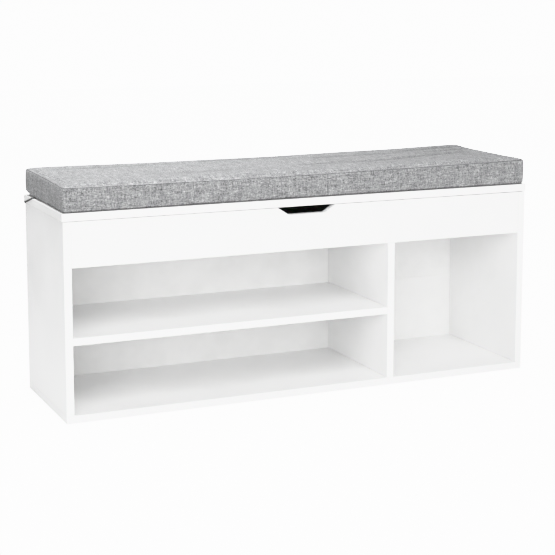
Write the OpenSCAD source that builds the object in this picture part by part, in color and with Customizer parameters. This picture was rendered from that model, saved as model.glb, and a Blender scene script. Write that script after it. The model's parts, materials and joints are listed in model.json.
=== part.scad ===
// Entryway bench: a flat-pack board carcass with open bays below, a storage box
// closed by a flip-up lid, and a box cushion strapped to the lid.
// X runs along the bench, Y from front to back, Z up. The origin is on the floor,
// under the centre of the footprint.

/* [Overall] */
// Length of the lid
lid_w = 1080; // [860:10:1300]
// Depth of the lid, front to back
depth = 300; // [250:5:370]
// Height of the lid's top above the floor
seat_h = 430; // [380:5:520]

/* [Boards] */
// Thickness of the carcass and lid boards
board_t = 16; // [15:0.5:20]
// Thickness of the shelf
shelf_t = 15; // [13:0.5:19]
// Thickness of the thin back sheets
back_t = 3; // [2.5:0.5:4]
// How far the lid reaches past each side panel
lid_overhang = 2; // [1:0.5:6]
// Gap between the closed lid and the carcass
lid_gap = 1.2; // [1.2:0.1:2]

/* [Layout] */
// Height of the front and rear rails of the storage box
rail_h = 93; // [75:1:120]
// Clear height of the bay under the shelf
lower_bay_h = 144; // [110:1:170]
// Clear length of the left bays
left_bay_w = 711; // [480:1:780]

/* [Finger notch] */
// Length of the notch along the rail's top edge
notch_top_w = 134; // [90:1:160]
// Length of the notch along its bottom
notch_bottom_w = 84; // [60:1:90]
// Depth of the notch below the rail's top edge
notch_d = 16; // [10:1:24]
// How far the notch's middle lies to the right of the bench's middle
notch_off = -6; // [-20:1:20]

/* [Back] */
// Height of the seam between the back sheets above the shelf's underside
seam_up = 5; // [4:0.5:8]
// Height of the jointing strip that joins the sheets in the right bay
strip_h = 6; // [5:0.5:8]
// Wall of the jointing strip
strip_wall = 0.8; // [0.6:0.1:1.2]
// Width of the margin around each back sheet
back_margin = 2; // [1:0.5:4]

/* [Cushion] */
// Thickness of the cushion
cushion_t = 49; // [35:1:80]
// How far the cushion stays inside each end of the lid
cushion_end_inset = 3; // [1:0.5:10]
// How far the cushion stays inside the lid's front and rear edges
cushion_edge_inset = 1; // [0.5:0.5:6]
// Thickness of the cushion's cover
cover_t = 1.2; // [0.8:0.1:2.5]
// Radius of the cushion's upright corners
cushion_corner_r = 14; // [6:1:30]
// Length of the cover's zip
zip_l = 520; // [300:10:600]

/* [Corner loops] */
// Width of the elastic
loop_w = 3.2; // [2.5:0.1:4]
// Thickness of the elastic
loop_t = 0.9; // [0.6:0.1:0.9]
// Distance from the lid's rear corner to the elastic's upper end
loop_far = 71; // [40:1:90]
// Distance from the lid's rear corner to the elastic under the lid
loop_near = 9; // [8:0.5:20]

/* [Hinges] */
// Length of each hinge
hinge_l = 60; // [40:1:90]
// Distance from a side panel to the middle of the outer hinges
hinge_inset = 110; // [70:1:200]
// Thickness of a hinge leaf
leaf_t = 1; // [0.8:0.1:1]
// Outer radius of the hinge knuckle
knuckle_r = 2.6; // [2.6:0.1:3.5]
// Radius of the hinge pin
pin_r = 1.35; // [1.2:0.05:1.5]
// Clearance between the pin and the lid leaf's bore
pin_clear = 0.05; // [0.02:0.01:0.08]
// Gap between knuckles along the pin
knuckle_gap = 0.3; // [0.2:0.1:0.6]

/* [Fasteners] */
// Radius of the dowels
dowel_r = 4; // [3:0.5:4]
// Diameter of the cam locks
cam_d = 15; // [12:0.5:15]
// How far a cam lock reaches past the middle of its board
cam_past = 3.6; // [3.4:0.1:4]
// Distance from a board's end to the centre of its cam lock
cam_reach = 24; // [20:1:34]
// Length of the screws that enter from below
long_screw_l = 46; // [38:1:55]
// Radius of those screws
long_screw_r = 2.6; // [2:0.1:3]
// Length of the hinge screws
hinge_screw_l = 12; // [9:0.5:13]
// Radius of the hinge screws
hinge_screw_r = 1.5; // [1.2:0.1:1.7]

/* [Small parts] */
// Height of the floor glides
glide_h = 2; // [1.5:0.5:6]
// Radius of the floor glides
glide_r = 7; // [5:0.5:7.5]
// Radius of the lid bumpers
bumper_r = 5; // [4:0.5:6]

/* [Hidden] */
$fn = 48;

// Colours
WHITE = [0.95, 0.95, 0.94];
BACK_WHITE = [0.92, 0.92, 0.91];
STEEL = [0.72, 0.73, 0.75];
ZINC = [0.62, 0.63, 0.65];
BEECH = [0.80, 0.66, 0.46];
LINEN = [0.66, 0.66, 0.67];
FOAM = [0.93, 0.89, 0.72];
BLACK = [0.05, 0.05, 0.05];
CLEAR = [0.86, 0.88, 0.88];

// A hair that keeps cuts clear of the faces they start from
eps = 0.01;
// Fit of a dowel, cam or screw in its hole, on the radius
hole_fit = 0.05;

// Hinge and depth
knuckle_off = 0.2;
hinge_proud = 2 * knuckle_r + knuckle_off;
front_y = -(depth + hinge_proud) / 2;
rear_y = front_y + depth;
board_rear_y = rear_y - back_t;
axis_y = rear_y + knuckle_off + knuckle_r;

// Heights
base_bottom = glide_h;
base_top = base_bottom + board_t;
lid_top = seat_h;
lid_bottom = lid_top - board_t;
frame_top = lid_bottom - lid_gap;
rail_bottom = frame_top - rail_h;
floor_top = rail_bottom + board_t;
shelf_bottom = base_top + lower_bay_h;
shelf_top = shelf_bottom + shelf_t;
seam_z = shelf_bottom + seam_up;
leaf_gap = lid_gap - leaf_t;
axis_z = frame_top + leaf_gap / 2;

// Lengths
side_x = lid_w / 2 - lid_overhang;
inner_x = side_x - board_t;
divider_x0 = -inner_x + left_bay_w;
divider_x1 = divider_x0 + board_t;
box_front_y = front_y + board_t;
box_rear_y = board_rear_y - board_t;

// Places along the depth of the boards' end joints: cams outside, dowels inside
joint_margin = 42;
dowel_step = 34;
cam_ys = [front_y + joint_margin, board_rear_y - joint_margin];
dowel_ys = [front_y + joint_margin + dowel_step, board_rear_y - joint_margin - dowel_step];
floor_cam_ys = [box_front_y + joint_margin, box_rear_y - joint_margin];
floor_dowel_ys = [floor_cam_ys[0] + dowel_step, floor_cam_ys[1] - dowel_step];
screw_margin = 40;
screw_ys = [front_y + screw_margin, board_rear_y - screw_margin];

// Joint depths
dowel_in = 10;
dowel_out = 20;
dowel_end_gap = 1;
bolt_in = 10;
bolt_thread_r = 2.5;
bolt_neck_r = 1.8;
bolt_head_r = 3;
bolt_head_l = 3;
head_clear = 0.2;
bolt_run = cam_reach - bolt_head_l / 2;
bolt_way_r = 3.5;
cam_floor_gap = 0.5;
cross_l = 7;
cross_w = 1.4;
cross_depth = 1.2;
screw_head_r = 4.6;
screw_head_l = 3;
screw_tip = 1;

// End joints of the boards that lie between uprights:
// [x of the upright's face, way from the board into the upright]
shelf_ends = [[-inner_x, -1], [divider_x0, 1]];
box_ends = [[-inner_x, -1], [inner_x, 1]];
shelf_z = shelf_bottom + shelf_t / 2;
floor_z = rail_bottom + board_t / 2;
front_rail_y = front_y + board_t / 2;
rear_rail_y = board_rear_y - board_t / 2;
rail_cam_z = rail_bottom + rail_h * 0.5;
rail_dowel_dz = rail_h * 0.25;

// Every cam joint: [x, way, y, z, half of the board's thickness, the face that the cam enters].
// The last value is 0 for the underside, 1 for the rear face and -1 for the front face.
cams = concat(
  [for (e = shelf_ends, y = cam_ys) [e[0], e[1], y, shelf_z, shelf_t / 2, 0]],
  [for (e = box_ends, y = floor_cam_ys) [e[0], e[1], y, floor_z, board_t / 2, 0]],
  [for (e = box_ends) [e[0], e[1], front_rail_y, rail_cam_z + rail_dowel_dz / 2, board_t / 2, 1]],
  [for (e = box_ends) [e[0], e[1], rear_rail_y, rail_cam_z + rail_dowel_dz / 2, board_t / 2, -1]]
);
// Every dowel joint: [x, way, y, z]
dowels = concat(
  [for (e = shelf_ends, y = dowel_ys) [e[0], e[1], y, shelf_z]],
  [for (e = box_ends, y = floor_dowel_ys) [e[0], e[1], y, floor_z]],
  [for (e = box_ends) [e[0], e[1], front_rail_y, rail_cam_z - rail_dowel_dz]],
  [for (e = box_ends) [e[0], e[1], rear_rail_y, rail_cam_z - rail_dowel_dz]]
);
upright_xs = [-side_x + board_t / 2, divider_x0 + board_t / 2, side_x - board_t / 2];
divider_screw_x = upright_xs[1];
divider_screw_ys = [box_front_y + screw_margin, box_rear_y - screw_margin];

// Hinges
hinge_xs = [-inner_x + hinge_inset, 0, inner_x - hinge_inset];
leaf_inset = 3;
leaf_reach = hinge_proud - knuckle_r + back_t + board_t - leaf_inset;
leaf_front_y = axis_y - leaf_reach;
screw_line_y = board_rear_y - board_t / 2;
hinge_screw_dx = hinge_l * 0.3;
hinge_screw_tip = 1;
csk_r = 2.8;
csk_l = 0.9;
knuckle_count = 5;
knuckle_l = (hinge_l - (knuckle_count - 1) * knuckle_gap) / knuckle_count;
leaf_clear = 0.35;
leaf_setback = knuckle_r + leaf_clear;
pin_end = 0.4;

// Back sheets
back_x = side_x - back_margin;
back_drop = 14;
back_top = frame_top - back_drop;
back_bottom = base_bottom + back_margin;
web = 1;
strip_end_gap = 0.3;
nail_r = 0.7;
nail_l = 16;
nail_tip = 1;
nail_head_r = 1.6;
nail_head_l = 0.5;
nail_step = 120;
nail_in = 14;
seam_nail_dz = 4;
seam_column_dz = 24;
// The rail's nails pass between its dowels and its cams
rail_nail_z = rail_bottom + rail_h * 0.42;

// Cushion
loop_clear = 0.1;
cushion_lift = loop_t + loop_clear;
cushion_x = lid_w / 2 - cushion_end_inset;
cushion_y0 = front_y + cushion_edge_inset;
cushion_y1 = rear_y - cushion_edge_inset;
cushion_z0 = lid_top + cushion_lift;
cushion_z1 = cushion_z0 + cushion_t;
foam_clear = 0.3;
zip_h = 7;
zip_t = 0.8;
zip_up = 14;
zip_z = cushion_z0 + zip_up;
panel_clear = 0.05;
loop_tab = 7;

// Glides and bumpers
glide_in = 17;
glide_edge = 0.8;
bumper_in = 26;
bumper_clear = 0.02;

// Joint cutters and pieces. way is +1 or -1 along X, from the board into the upright.
module along_x(at, way) {
  translate(at) rotate([0, way * 90, 0]) children();
}

module dowel_hole(d) {
  along_x([d[0], d[2], d[3]], d[1]) translate([0, 0, -dowel_out - dowel_end_gap])
    cylinder(r = dowel_r + hole_fit, h = dowel_in + dowel_out + 2 * dowel_end_gap);
}

module dowel(d) {
  along_x([d[0], d[2], d[3]], d[1]) translate([0, 0, -dowel_out])
    cylinder(r = dowel_r, h = dowel_in + dowel_out);
}

module cam_bolt_hole(c) {
  along_x([c[0], c[2], c[3]], c[1]) {
    cylinder(r = bolt_thread_r + hole_fit, h = bolt_in + dowel_end_gap);
    translate([0, 0, -cam_reach]) cylinder(r = bolt_way_r, h = cam_reach);
  }
}

module cam_bolt(c) {
  along_x([c[0], c[2], c[3]], c[1]) {
    cylinder(r = bolt_thread_r, h = bolt_in);
    translate([0, 0, -bolt_run]) cylinder(r = bolt_neck_r, h = bolt_run + eps);
    translate([0, 0, -cam_reach - bolt_head_l / 2]) cylinder(r = bolt_head_r, h = bolt_head_l);
  }
}

// Turns a cam's own axis, which starts at the face it enters, the way the joint says
module cam_place(c) {
  x = c[0] - c[1] * cam_reach;
  turn = c[5] == 0 ? [0, 0, 0] : [c[5] * 90, 0, 0];
  shift = c[5] == 0 ? [0, 0, -c[4]] : [0, c[5] * c[4], 0];
  translate([x, c[2], c[3]] + shift) rotate(turn) children();
}

module cam_hole(c) {
  cam_place(c) translate([0, 0, -eps])
    cylinder(d = cam_d + 2 * hole_fit, h = c[4] + cam_past + cam_floor_gap + eps);
}

module cam_lock(c) {
  slot_r = bolt_head_r + head_clear;
  difference() {
    cam_place(c) cylinder(d = cam_d, h = c[4] + cam_past);
    along_x([c[0] - c[1] * (cam_reach + bolt_head_l), c[2], c[3]], c[1])
      cylinder(r = slot_r, h = cam_d);
    cam_place(c) for (turn = [0, 90]) rotate([0, 0, turn])
      cube([cross_l, cross_w, 2 * cross_depth], center = true);
  }
}

// A countersunk screw that points up from z = 0, its head's face down
module wood_screw(r, l, head_r, head_l) {
  cylinder(r = r, h = l);
  cylinder(r1 = head_r, r2 = r, h = head_l);
}

module up_screw_hole(r, l, head_r, head_l) {
  translate([0, 0, -eps]) cylinder(r = r + hole_fit, h = l + eps + screw_tip);
  translate([0, 0, -eps]) cylinder(r1 = head_r + hole_fit, r2 = r + hole_fit, h = head_l + eps);
}

module base_screw_holes() {
  for (x = upright_xs, y = screw_ys)
    translate([x, y, base_bottom]) up_screw_hole(long_screw_r, long_screw_l, screw_head_r, screw_head_l);
}

module divider_screw_holes() {
  for (y = divider_screw_ys)
    translate([divider_screw_x, y, floor_top]) mirror([0, 0, 1])
      up_screw_hole(long_screw_r, long_screw_l, screw_head_r, screw_head_l);
}

module joint_holes() {
  for (c = cams) {
    cam_bolt_hole(c);
    cam_hole(c);
  }
  for (d = dowels) dowel_hole(d);
}

// Nail places for one back sheet between two heights
function nail_row(z, from, to) =
  let (n = max(1, round((to - from) / nail_step)))
  [for (i = [0 : n]) [from + (to - from) * i / n, z]];
function nail_column(x, from, to) =
  let (n = max(1, round((to - from) / nail_step)))
  [for (i = [0 : n]) [x, from + (to - from) * i / n]];
upper_nails = concat(
  nail_row(rail_nail_z, -inner_x + nail_in, inner_x - nail_in),
  nail_row(seam_z + seam_nail_dz, -inner_x + nail_in, divider_x0 - nail_in),
  [for (x = upright_xs) each nail_column(x, seam_z + seam_column_dz, rail_bottom - nail_in)]
);
lower_nails = concat(
  nail_row(base_bottom + board_t / 2, -side_x + nail_in, side_x - nail_in),
  [for (x = upright_xs) each nail_column(x, base_top + seam_column_dz, seam_z - seam_column_dz)]
);

module nail_holes(nails) {
  for (p = nails) translate([p[0], rear_y + eps, p[1]]) rotate([90, 0, 0])
    cylinder(r = nail_r + hole_fit, h = nail_l + nail_tip);
}

// A board given by its two opposite corners
module board(from, to) {
  translate(from) cube(to - from);
}

module base_panel() {
  color(WHITE) difference() {
    board([-side_x, front_y, base_bottom], [side_x, board_rear_y, base_top]);
    base_screw_holes();
    nail_holes(lower_nails);
  }
}

module side_panel(way) {
  x0 = way < 0 ? -side_x : inner_x;
  color(WHITE) difference() {
    board([x0, front_y, base_top], [x0 + board_t, board_rear_y, frame_top]);
    base_screw_holes();
    joint_holes();
    nail_holes(concat(upper_nails, lower_nails));
  }
}

module left_side_panel() {
  side_panel(-1);
}

module right_side_panel() {
  side_panel(1);
}

module divider_panel() {
  color(WHITE) difference() {
    board([divider_x0, front_y, base_top], [divider_x1, board_rear_y, rail_bottom]);
    base_screw_holes();
    divider_screw_holes();
    joint_holes();
    nail_holes(concat(upper_nails, lower_nails));
  }
}

module shelf_panel() {
  color(WHITE) difference() {
    board([-inner_x, front_y, shelf_bottom], [divider_x0, board_rear_y, shelf_top]);
    joint_holes();
    nail_holes(upper_nails);
  }
}

module box_floor_panel() {
  color(WHITE) difference() {
    board([-inner_x, box_front_y, rail_bottom], [inner_x, box_rear_y, floor_top]);
    divider_screw_holes();
    joint_holes();
  }
}

module front_rail() {
  color(WHITE) difference() {
    board([-inner_x, front_y, rail_bottom], [inner_x, box_front_y, frame_top]);
    translate([notch_off, box_front_y + eps, frame_top]) rotate([90, 0, 0])
      linear_extrude(board_t + 2 * eps) polygon([
        [-notch_top_w / 2, 0], [-notch_bottom_w / 2, -notch_d], [notch_bottom_w / 2, -notch_d],
        [notch_top_w / 2, 0], [notch_top_w / 2, eps], [-notch_top_w / 2, eps]
      ]);
    joint_holes();
  }
}

module rear_rail() {
  color(WHITE) difference() {
    board([-inner_x, box_rear_y, rail_bottom], [inner_x, board_rear_y, frame_top]);
    for (x = hinge_xs) {
      translate([x - hinge_l / 2 - hole_fit, leaf_front_y - hole_fit, frame_top - leaf_t])
        cube([hinge_l + 2 * hole_fit, leaf_reach, leaf_t + eps]);
      for (s = [-1, 1]) translate([x + s * hinge_screw_dx, screw_line_y, frame_top]) mirror([0, 0, 1])
        cylinder(r = hinge_screw_r + hole_fit, h = hinge_screw_l + hinge_screw_tip);
    }
    joint_holes();
    nail_holes(upper_nails);
  }
}

module upper_back_sheet() {
  color(BACK_WHITE) difference() {
    board([-back_x, board_rear_y, seam_z + web / 2], [back_x, rear_y, back_top]);
    nail_holes(upper_nails);
  }
}

module lower_back_sheet() {
  color(BACK_WHITE) difference() {
    board([-back_x, board_rear_y, back_bottom], [back_x, rear_y, seam_z - web / 2]);
    nail_holes(lower_nails);
  }
}

module back_jointing_strip() {
  strip_x0 = divider_x1 + strip_end_gap;
  strip_l = inner_x - divider_x1 - 2 * strip_end_gap;
  color(WHITE) translate([strip_x0, 0, seam_z]) rotate([90, 0, 90]) linear_extrude(strip_l) union() {
    translate([board_rear_y, -web / 2]) square([back_t, web]);
    translate([board_rear_y - strip_wall, -strip_h / 2]) square([strip_wall, strip_h]);
    translate([rear_y, -strip_h / 2]) square([strip_wall, strip_h]);
  }
}

module back_nails() {
  color(STEEL) for (p = concat(upper_nails, lower_nails))
    translate([p[0], rear_y, p[1]]) rotate([90, 0, 0]) {
      cylinder(r = nail_r, h = nail_l);
      translate([0, 0, -nail_head_l]) cylinder(r = nail_head_r, h = nail_head_l);
    }
}

module floor_glides() {
  color(CLEAR) for (x = upright_xs, y = [front_y + glide_in, board_rear_y - glide_in])
    translate([x, y, 0]) {
      cylinder(r1 = glide_r - glide_edge, r2 = glide_r, h = glide_edge);
      translate([0, 0, glide_edge]) cylinder(r = glide_r, h = glide_h - glide_edge);
    }
}

module wood_dowels() {
  color(BEECH) for (d = dowels) dowel(d);
}

module cam_bolts() {
  color(STEEL) for (c = cams) cam_bolt(c);
}

module cam_locks() {
  color(ZINC) for (c = cams) cam_lock(c);
}

module base_screws() {
  color(STEEL) for (x = upright_xs, y = screw_ys)
    translate([x, y, base_bottom]) wood_screw(long_screw_r, long_screw_l, screw_head_r, screw_head_l);
}

module divider_screws() {
  color(STEEL) for (y = divider_screw_ys)
    translate([divider_screw_x, y, floor_top]) mirror([0, 0, 1])
      wood_screw(long_screw_r, long_screw_l, screw_head_r, screw_head_l);
}

module lid_panel() {
  color(WHITE) difference() {
    board([-lid_w / 2, front_y, lid_bottom], [lid_w / 2, rear_y, lid_top]);
    for (x = hinge_xs, s = [-1, 1])
      translate([x + s * hinge_screw_dx, screw_line_y, lid_bottom - eps])
        cylinder(r = hinge_screw_r + hole_fit, h = hinge_screw_l + eps);
  }
}

module lid_bumpers() {
  color(CLEAR) for (s = [-1, 1], y = [front_y + bumper_in, rear_y - loop_far - bumper_in])
    translate([s * (side_x - board_t / 2), y, frame_top + bumper_clear])
      cylinder(r = bumper_r, h = lid_gap - bumper_clear);
}

// A row of knuckles: first is 0 for the frame leaf's three, 1 for the lid leaf's two
module knuckles(first) {
  for (i = [first : 2 : knuckle_count - 1])
    translate([i * (knuckle_l + knuckle_gap), 0, 0]) rotate([0, 90, 0])
      cylinder(r = knuckle_r, h = knuckle_l);
}

// One leaf with its knuckles. side is -1 for the frame leaf, below the axis, and 1 for the lid leaf.
module hinge_leaf(x, first, side) {
  z0 = side < 0 ? -leaf_gap / 2 - leaf_t : leaf_gap / 2;
  bore = pin_r + (side < 0 ? 0 : pin_clear);
  translate([x - hinge_l / 2, axis_y, axis_z]) difference() {
    union() {
      translate([0, -leaf_reach, z0]) cube([hinge_l, leaf_reach - leaf_setback, leaf_t]);
      for (i = [first : 2 : knuckle_count - 1])
        translate([i * (knuckle_l + knuckle_gap), -leaf_reach, z0]) cube([knuckle_l, leaf_reach, leaf_t]);
      knuckles(first);
    }
    translate([-eps, 0, 0]) rotate([0, 90, 0]) cylinder(r = bore, h = hinge_l + 2 * eps);
    for (s = [-1, 1]) translate([hinge_l / 2 + s * hinge_screw_dx, screw_line_y - axis_y, 0]) {
      translate([0, 0, -2 * leaf_t]) cylinder(r = hinge_screw_r + hole_fit, h = 4 * leaf_t);
      if (side < 0)
        translate([0, 0, z0 + leaf_t - csk_l])
          cylinder(r1 = hinge_screw_r + hole_fit, r2 = csk_r + hole_fit, h = csk_l + eps);
      else
        translate([0, 0, z0 - eps])
          cylinder(r1 = csk_r + hole_fit, r2 = hinge_screw_r + hole_fit, h = csk_l + eps);
    }
  }
}

module hinge_pin(x) {
  color(STEEL) translate([x - hinge_l / 2 - pin_end, axis_y, axis_z]) rotate([0, 90, 0])
    cylinder(r = pin_r, h = hinge_l + 2 * pin_end);
}

module left_hinge_frame_leaf() {
  color(STEEL) hinge_leaf(hinge_xs[0], 0, -1);
}

module left_hinge_lid_leaf() {
  color(STEEL) hinge_leaf(hinge_xs[0], 1, 1);
}

module left_hinge_pin() {
  hinge_pin(hinge_xs[0]);
}

module centre_hinge_frame_leaf() {
  color(STEEL) hinge_leaf(hinge_xs[1], 0, -1);
}

module centre_hinge_lid_leaf() {
  color(STEEL) hinge_leaf(hinge_xs[1], 1, 1);
}

module centre_hinge_pin() {
  hinge_pin(hinge_xs[1]);
}

module right_hinge_frame_leaf() {
  color(STEEL) hinge_leaf(hinge_xs[2], 0, -1);
}

module right_hinge_lid_leaf() {
  color(STEEL) hinge_leaf(hinge_xs[2], 1, 1);
}

module right_hinge_pin() {
  hinge_pin(hinge_xs[2]);
}

module hinge_frame_screws() {
  color(STEEL) for (x = hinge_xs, s = [-1, 1])
    translate([x + s * hinge_screw_dx, screw_line_y, frame_top]) mirror([0, 0, 1])
      wood_screw(hinge_screw_r, hinge_screw_l, csk_r, csk_l);
}

module hinge_lid_screws() {
  color(STEEL) for (x = hinge_xs, s = [-1, 1])
    translate([x + s * hinge_screw_dx, screw_line_y, lid_bottom - leaf_t])
      wood_screw(hinge_screw_r, hinge_screw_l, csk_r, csk_l);
}

// Plan outline of the cushion, set in by a margin
module cushion_plan(margin) {
  x = cushion_x - margin;
  y0 = cushion_y0 + margin;
  y1 = cushion_y1 - margin;
  r = cushion_corner_r - margin;
  union() {
    translate([-x + r, y0]) square([2 * (x - r), y1 - y0]);
    translate([-x, y0 + r]) square([2 * x, y1 - y0 - 2 * r]);
    for (sx = [-1, 1], y = [y0 + r, y1 - r]) translate([sx * (x - r), y]) circle(r = r);
  }
}

module cushion_foam() {
  inner = cover_t + foam_clear;
  color(FOAM) translate([0, 0, cushion_z0 + inner])
    linear_extrude(cushion_t - 2 * inner) cushion_plan(inner);
}

// The cover's top and its boxing, open underneath
module cushion_cover() {
  color(LINEN) difference() {
    translate([0, 0, cushion_z0]) linear_extrude(cushion_t) cushion_plan(0);
    translate([0, 0, cushion_z0 - eps]) linear_extrude(cushion_t - cover_t + eps) cushion_plan(cover_t);
  }
}

module cushion_underside() {
  color(LINEN) translate([0, 0, cushion_z0]) linear_extrude(cover_t) cushion_plan(cover_t + panel_clear);
}

module cushion_zip() {
  color(BLACK) translate([-zip_l / 2, cushion_y1, zip_z]) cube([zip_l, zip_t, zip_h]);
}

// One corner loop, drawn at the left rear corner: up the lid's end, under its corner and up its rear
// edge, with a tab at each end that tucks under the cushion
module corner_loop() {
  lx = -lid_w / 2;
  half = loop_w / 2;
  rise = board_t + loop_t;
  // Half the elastic's cut along the lid's edge, where it climbs and where it crosses the corner
  climb = half * norm([loop_far - loop_near, rise + loop_t]) / (rise + loop_t);
  skew = half * sqrt(2);
  union() {
    // End stretch, in the plane of the lid's end
    translate([lx - loop_t, 0, 0]) rotate([90, 0, 90]) linear_extrude(loop_t) polygon([
      [rear_y - loop_near - climb, lid_bottom - loop_t], [rear_y - loop_near + climb, lid_bottom - loop_t],
      [rear_y - loop_far + climb, lid_bottom + rise], [rear_y - loop_far - climb, lid_bottom + rise]
    ]);
    // Rear stretch, in the plane of the lid's rear edge
    translate([0, rear_y + loop_t, 0]) rotate([90, 0, 0]) linear_extrude(loop_t) polygon([
      [lx + loop_near - climb, lid_bottom - loop_t], [lx + loop_near + climb, lid_bottom - loop_t],
      [lx + loop_far + climb, lid_bottom + rise], [lx + loop_far - climb, lid_bottom + rise]
    ]);
    // Stretch under the corner
    translate([0, 0, lid_bottom - loop_t]) linear_extrude(loop_t) polygon([
      [lx - loop_t, rear_y - loop_near - skew], [lx - loop_t, rear_y - loop_near + skew],
      [lx + loop_near - skew, rear_y + loop_t], [lx + loop_near + skew, rear_y + loop_t]
    ]);
    // Tabs under the cushion
    translate([lx - loop_t, rear_y - loop_far - half, lid_top])
      cube([loop_t + cushion_end_inset + loop_tab, loop_w, loop_t]);
    translate([lx + loop_far - half, rear_y - cushion_edge_inset - loop_tab, lid_top])
      cube([loop_w, loop_t + cushion_edge_inset + loop_tab, loop_t]);
  }
}

module left_corner_loop() {
  color(BLACK) corner_loop();
}

module right_corner_loop() {
  color(BLACK) mirror([1, 0, 0]) corner_loop();
}

base_panel();
left_side_panel();
right_side_panel();
divider_panel();
shelf_panel();
box_floor_panel();
front_rail();
rear_rail();
upper_back_sheet();
lower_back_sheet();
back_jointing_strip();
back_nails();
floor_glides();
wood_dowels();
cam_bolts();
cam_locks();
base_screws();
divider_screws();
lid_panel();
lid_bumpers();
left_hinge_frame_leaf();
left_hinge_lid_leaf();
left_hinge_pin();
centre_hinge_frame_leaf();
centre_hinge_lid_leaf();
centre_hinge_pin();
right_hinge_frame_leaf();
right_hinge_lid_leaf();
right_hinge_pin();
hinge_frame_screws();
hinge_lid_screws();
cushion_foam();
cushion_cover();
cushion_underside();
cushion_zip();
left_corner_loop();
right_corner_loop();
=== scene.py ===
import json
import math

import bmesh
import bpy
import numpy as np
from bpy.props import FloatProperty, FloatVectorProperty, IntProperty, PointerProperty
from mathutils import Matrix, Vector, noise
from mathutils.bvhtree import BVHTree

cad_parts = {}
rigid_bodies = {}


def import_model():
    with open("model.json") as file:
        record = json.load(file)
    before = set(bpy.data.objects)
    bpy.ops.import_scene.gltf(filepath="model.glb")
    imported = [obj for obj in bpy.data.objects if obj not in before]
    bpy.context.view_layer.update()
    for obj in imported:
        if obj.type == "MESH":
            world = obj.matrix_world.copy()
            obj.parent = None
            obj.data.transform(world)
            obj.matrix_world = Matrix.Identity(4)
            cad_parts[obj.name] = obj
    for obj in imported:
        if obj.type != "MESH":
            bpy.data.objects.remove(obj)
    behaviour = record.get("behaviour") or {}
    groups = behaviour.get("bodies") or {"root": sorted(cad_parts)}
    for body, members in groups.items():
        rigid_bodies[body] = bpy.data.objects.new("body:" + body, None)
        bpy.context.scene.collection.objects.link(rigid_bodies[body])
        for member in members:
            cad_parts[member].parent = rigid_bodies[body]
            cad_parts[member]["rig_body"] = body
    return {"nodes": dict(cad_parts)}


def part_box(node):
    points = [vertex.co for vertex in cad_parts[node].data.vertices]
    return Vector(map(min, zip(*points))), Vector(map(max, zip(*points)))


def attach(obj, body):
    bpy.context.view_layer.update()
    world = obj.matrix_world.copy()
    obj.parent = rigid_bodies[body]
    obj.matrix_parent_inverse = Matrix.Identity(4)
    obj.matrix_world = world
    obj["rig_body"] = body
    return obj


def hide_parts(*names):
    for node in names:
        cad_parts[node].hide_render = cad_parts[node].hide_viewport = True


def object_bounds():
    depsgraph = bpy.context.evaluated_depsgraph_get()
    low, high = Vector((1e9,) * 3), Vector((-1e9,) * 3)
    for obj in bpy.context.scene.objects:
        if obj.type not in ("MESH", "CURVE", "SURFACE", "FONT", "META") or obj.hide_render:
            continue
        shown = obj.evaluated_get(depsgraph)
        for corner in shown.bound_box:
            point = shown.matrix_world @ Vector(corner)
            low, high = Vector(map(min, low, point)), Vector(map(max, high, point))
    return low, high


bl_info = {
    "name": "Entryway Bench",
    "version": (1, 0, 0),
    "blender": (4, 5, 0),
    "location": "3D View > Sidebar > Bench",
    "description": "Finishes for a flat-pack bench with a storage box and a linen cushion",
    "category": "Object",
}

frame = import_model()
CAD_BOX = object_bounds()

MM = 0.001

# ---------------------------------------------------------------- places from the frame

LID_LOW, LID_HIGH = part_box("lid_panel")
SEAT_LOW, SEAT_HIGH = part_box("cushion_cover")
ZIP_LOW, ZIP_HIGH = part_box("cushion_zip")
ZIP_MIDDLE = (ZIP_LOW.z + ZIP_HIGH.z) / 2
BENCH_LOW, BENCH_HIGH = (Vector(corner) for corner in CAD_BOX)

BOARDS = {
    "base_panel": "base_board",
    "left_side_panel": "left_side_board",
    "right_side_panel": "right_side_board",
    "divider_panel": "divider_board",
    "shelf_panel": "shelf_board",
    "box_floor_panel": "box_floor_board",
    "front_rail": "front_rail_board",
    "rear_rail": "rear_rail_board",
    "lid_panel": "lid_board",
}
BACK_SHEETS = {"upper_back_sheet": "upper_back", "lower_back_sheet": "lower_back"}
HINGES = ("left", "centre", "right")
SCREW_SETS = {
    "base_screws": ("base_screw_set", 1),
    "divider_screws": ("divider_screw_set", -1),
    "hinge_frame_screws": ("hinge_frame_screw_set", -1),
    "hinge_lid_screws": ("hinge_lid_screw_set", 1),
}


# ---------------------------------------------------------------- settings

def size_setting(name, description, default, low, high):
    """A length. The numbers are given in millimetres."""
    return FloatProperty(name=name, description=description, unit="LENGTH",
                         default=default * MM, min=low * MM, max=high * MM)


def colour_setting(name, description, default):
    return FloatVectorProperty(name=name, description=description, subtype="COLOR",
                               size=3, min=0, max=1, default=default)


def power_setting(name, default):
    return FloatProperty(name=name, description="Power in watts", default=default)


class BenchBoardSettings(bpy.types.PropertyGroup):
    colour: colour_setting("Board colour", "Colour of the melamine faces", (0.92, 0.92, 0.918))
    back_colour: colour_setting(
        "Back colour", "Colour of the thin back sheets", (0.91, 0.91, 0.906))
    edge_radius: size_setting("Edge radius", "Radius along the boards' edges", 0.6, 0.1, 2)
    peel_size: size_setting("Peel size", "Size of the faint dimples in the melamine", 1.4, 0.2, 10)


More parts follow.
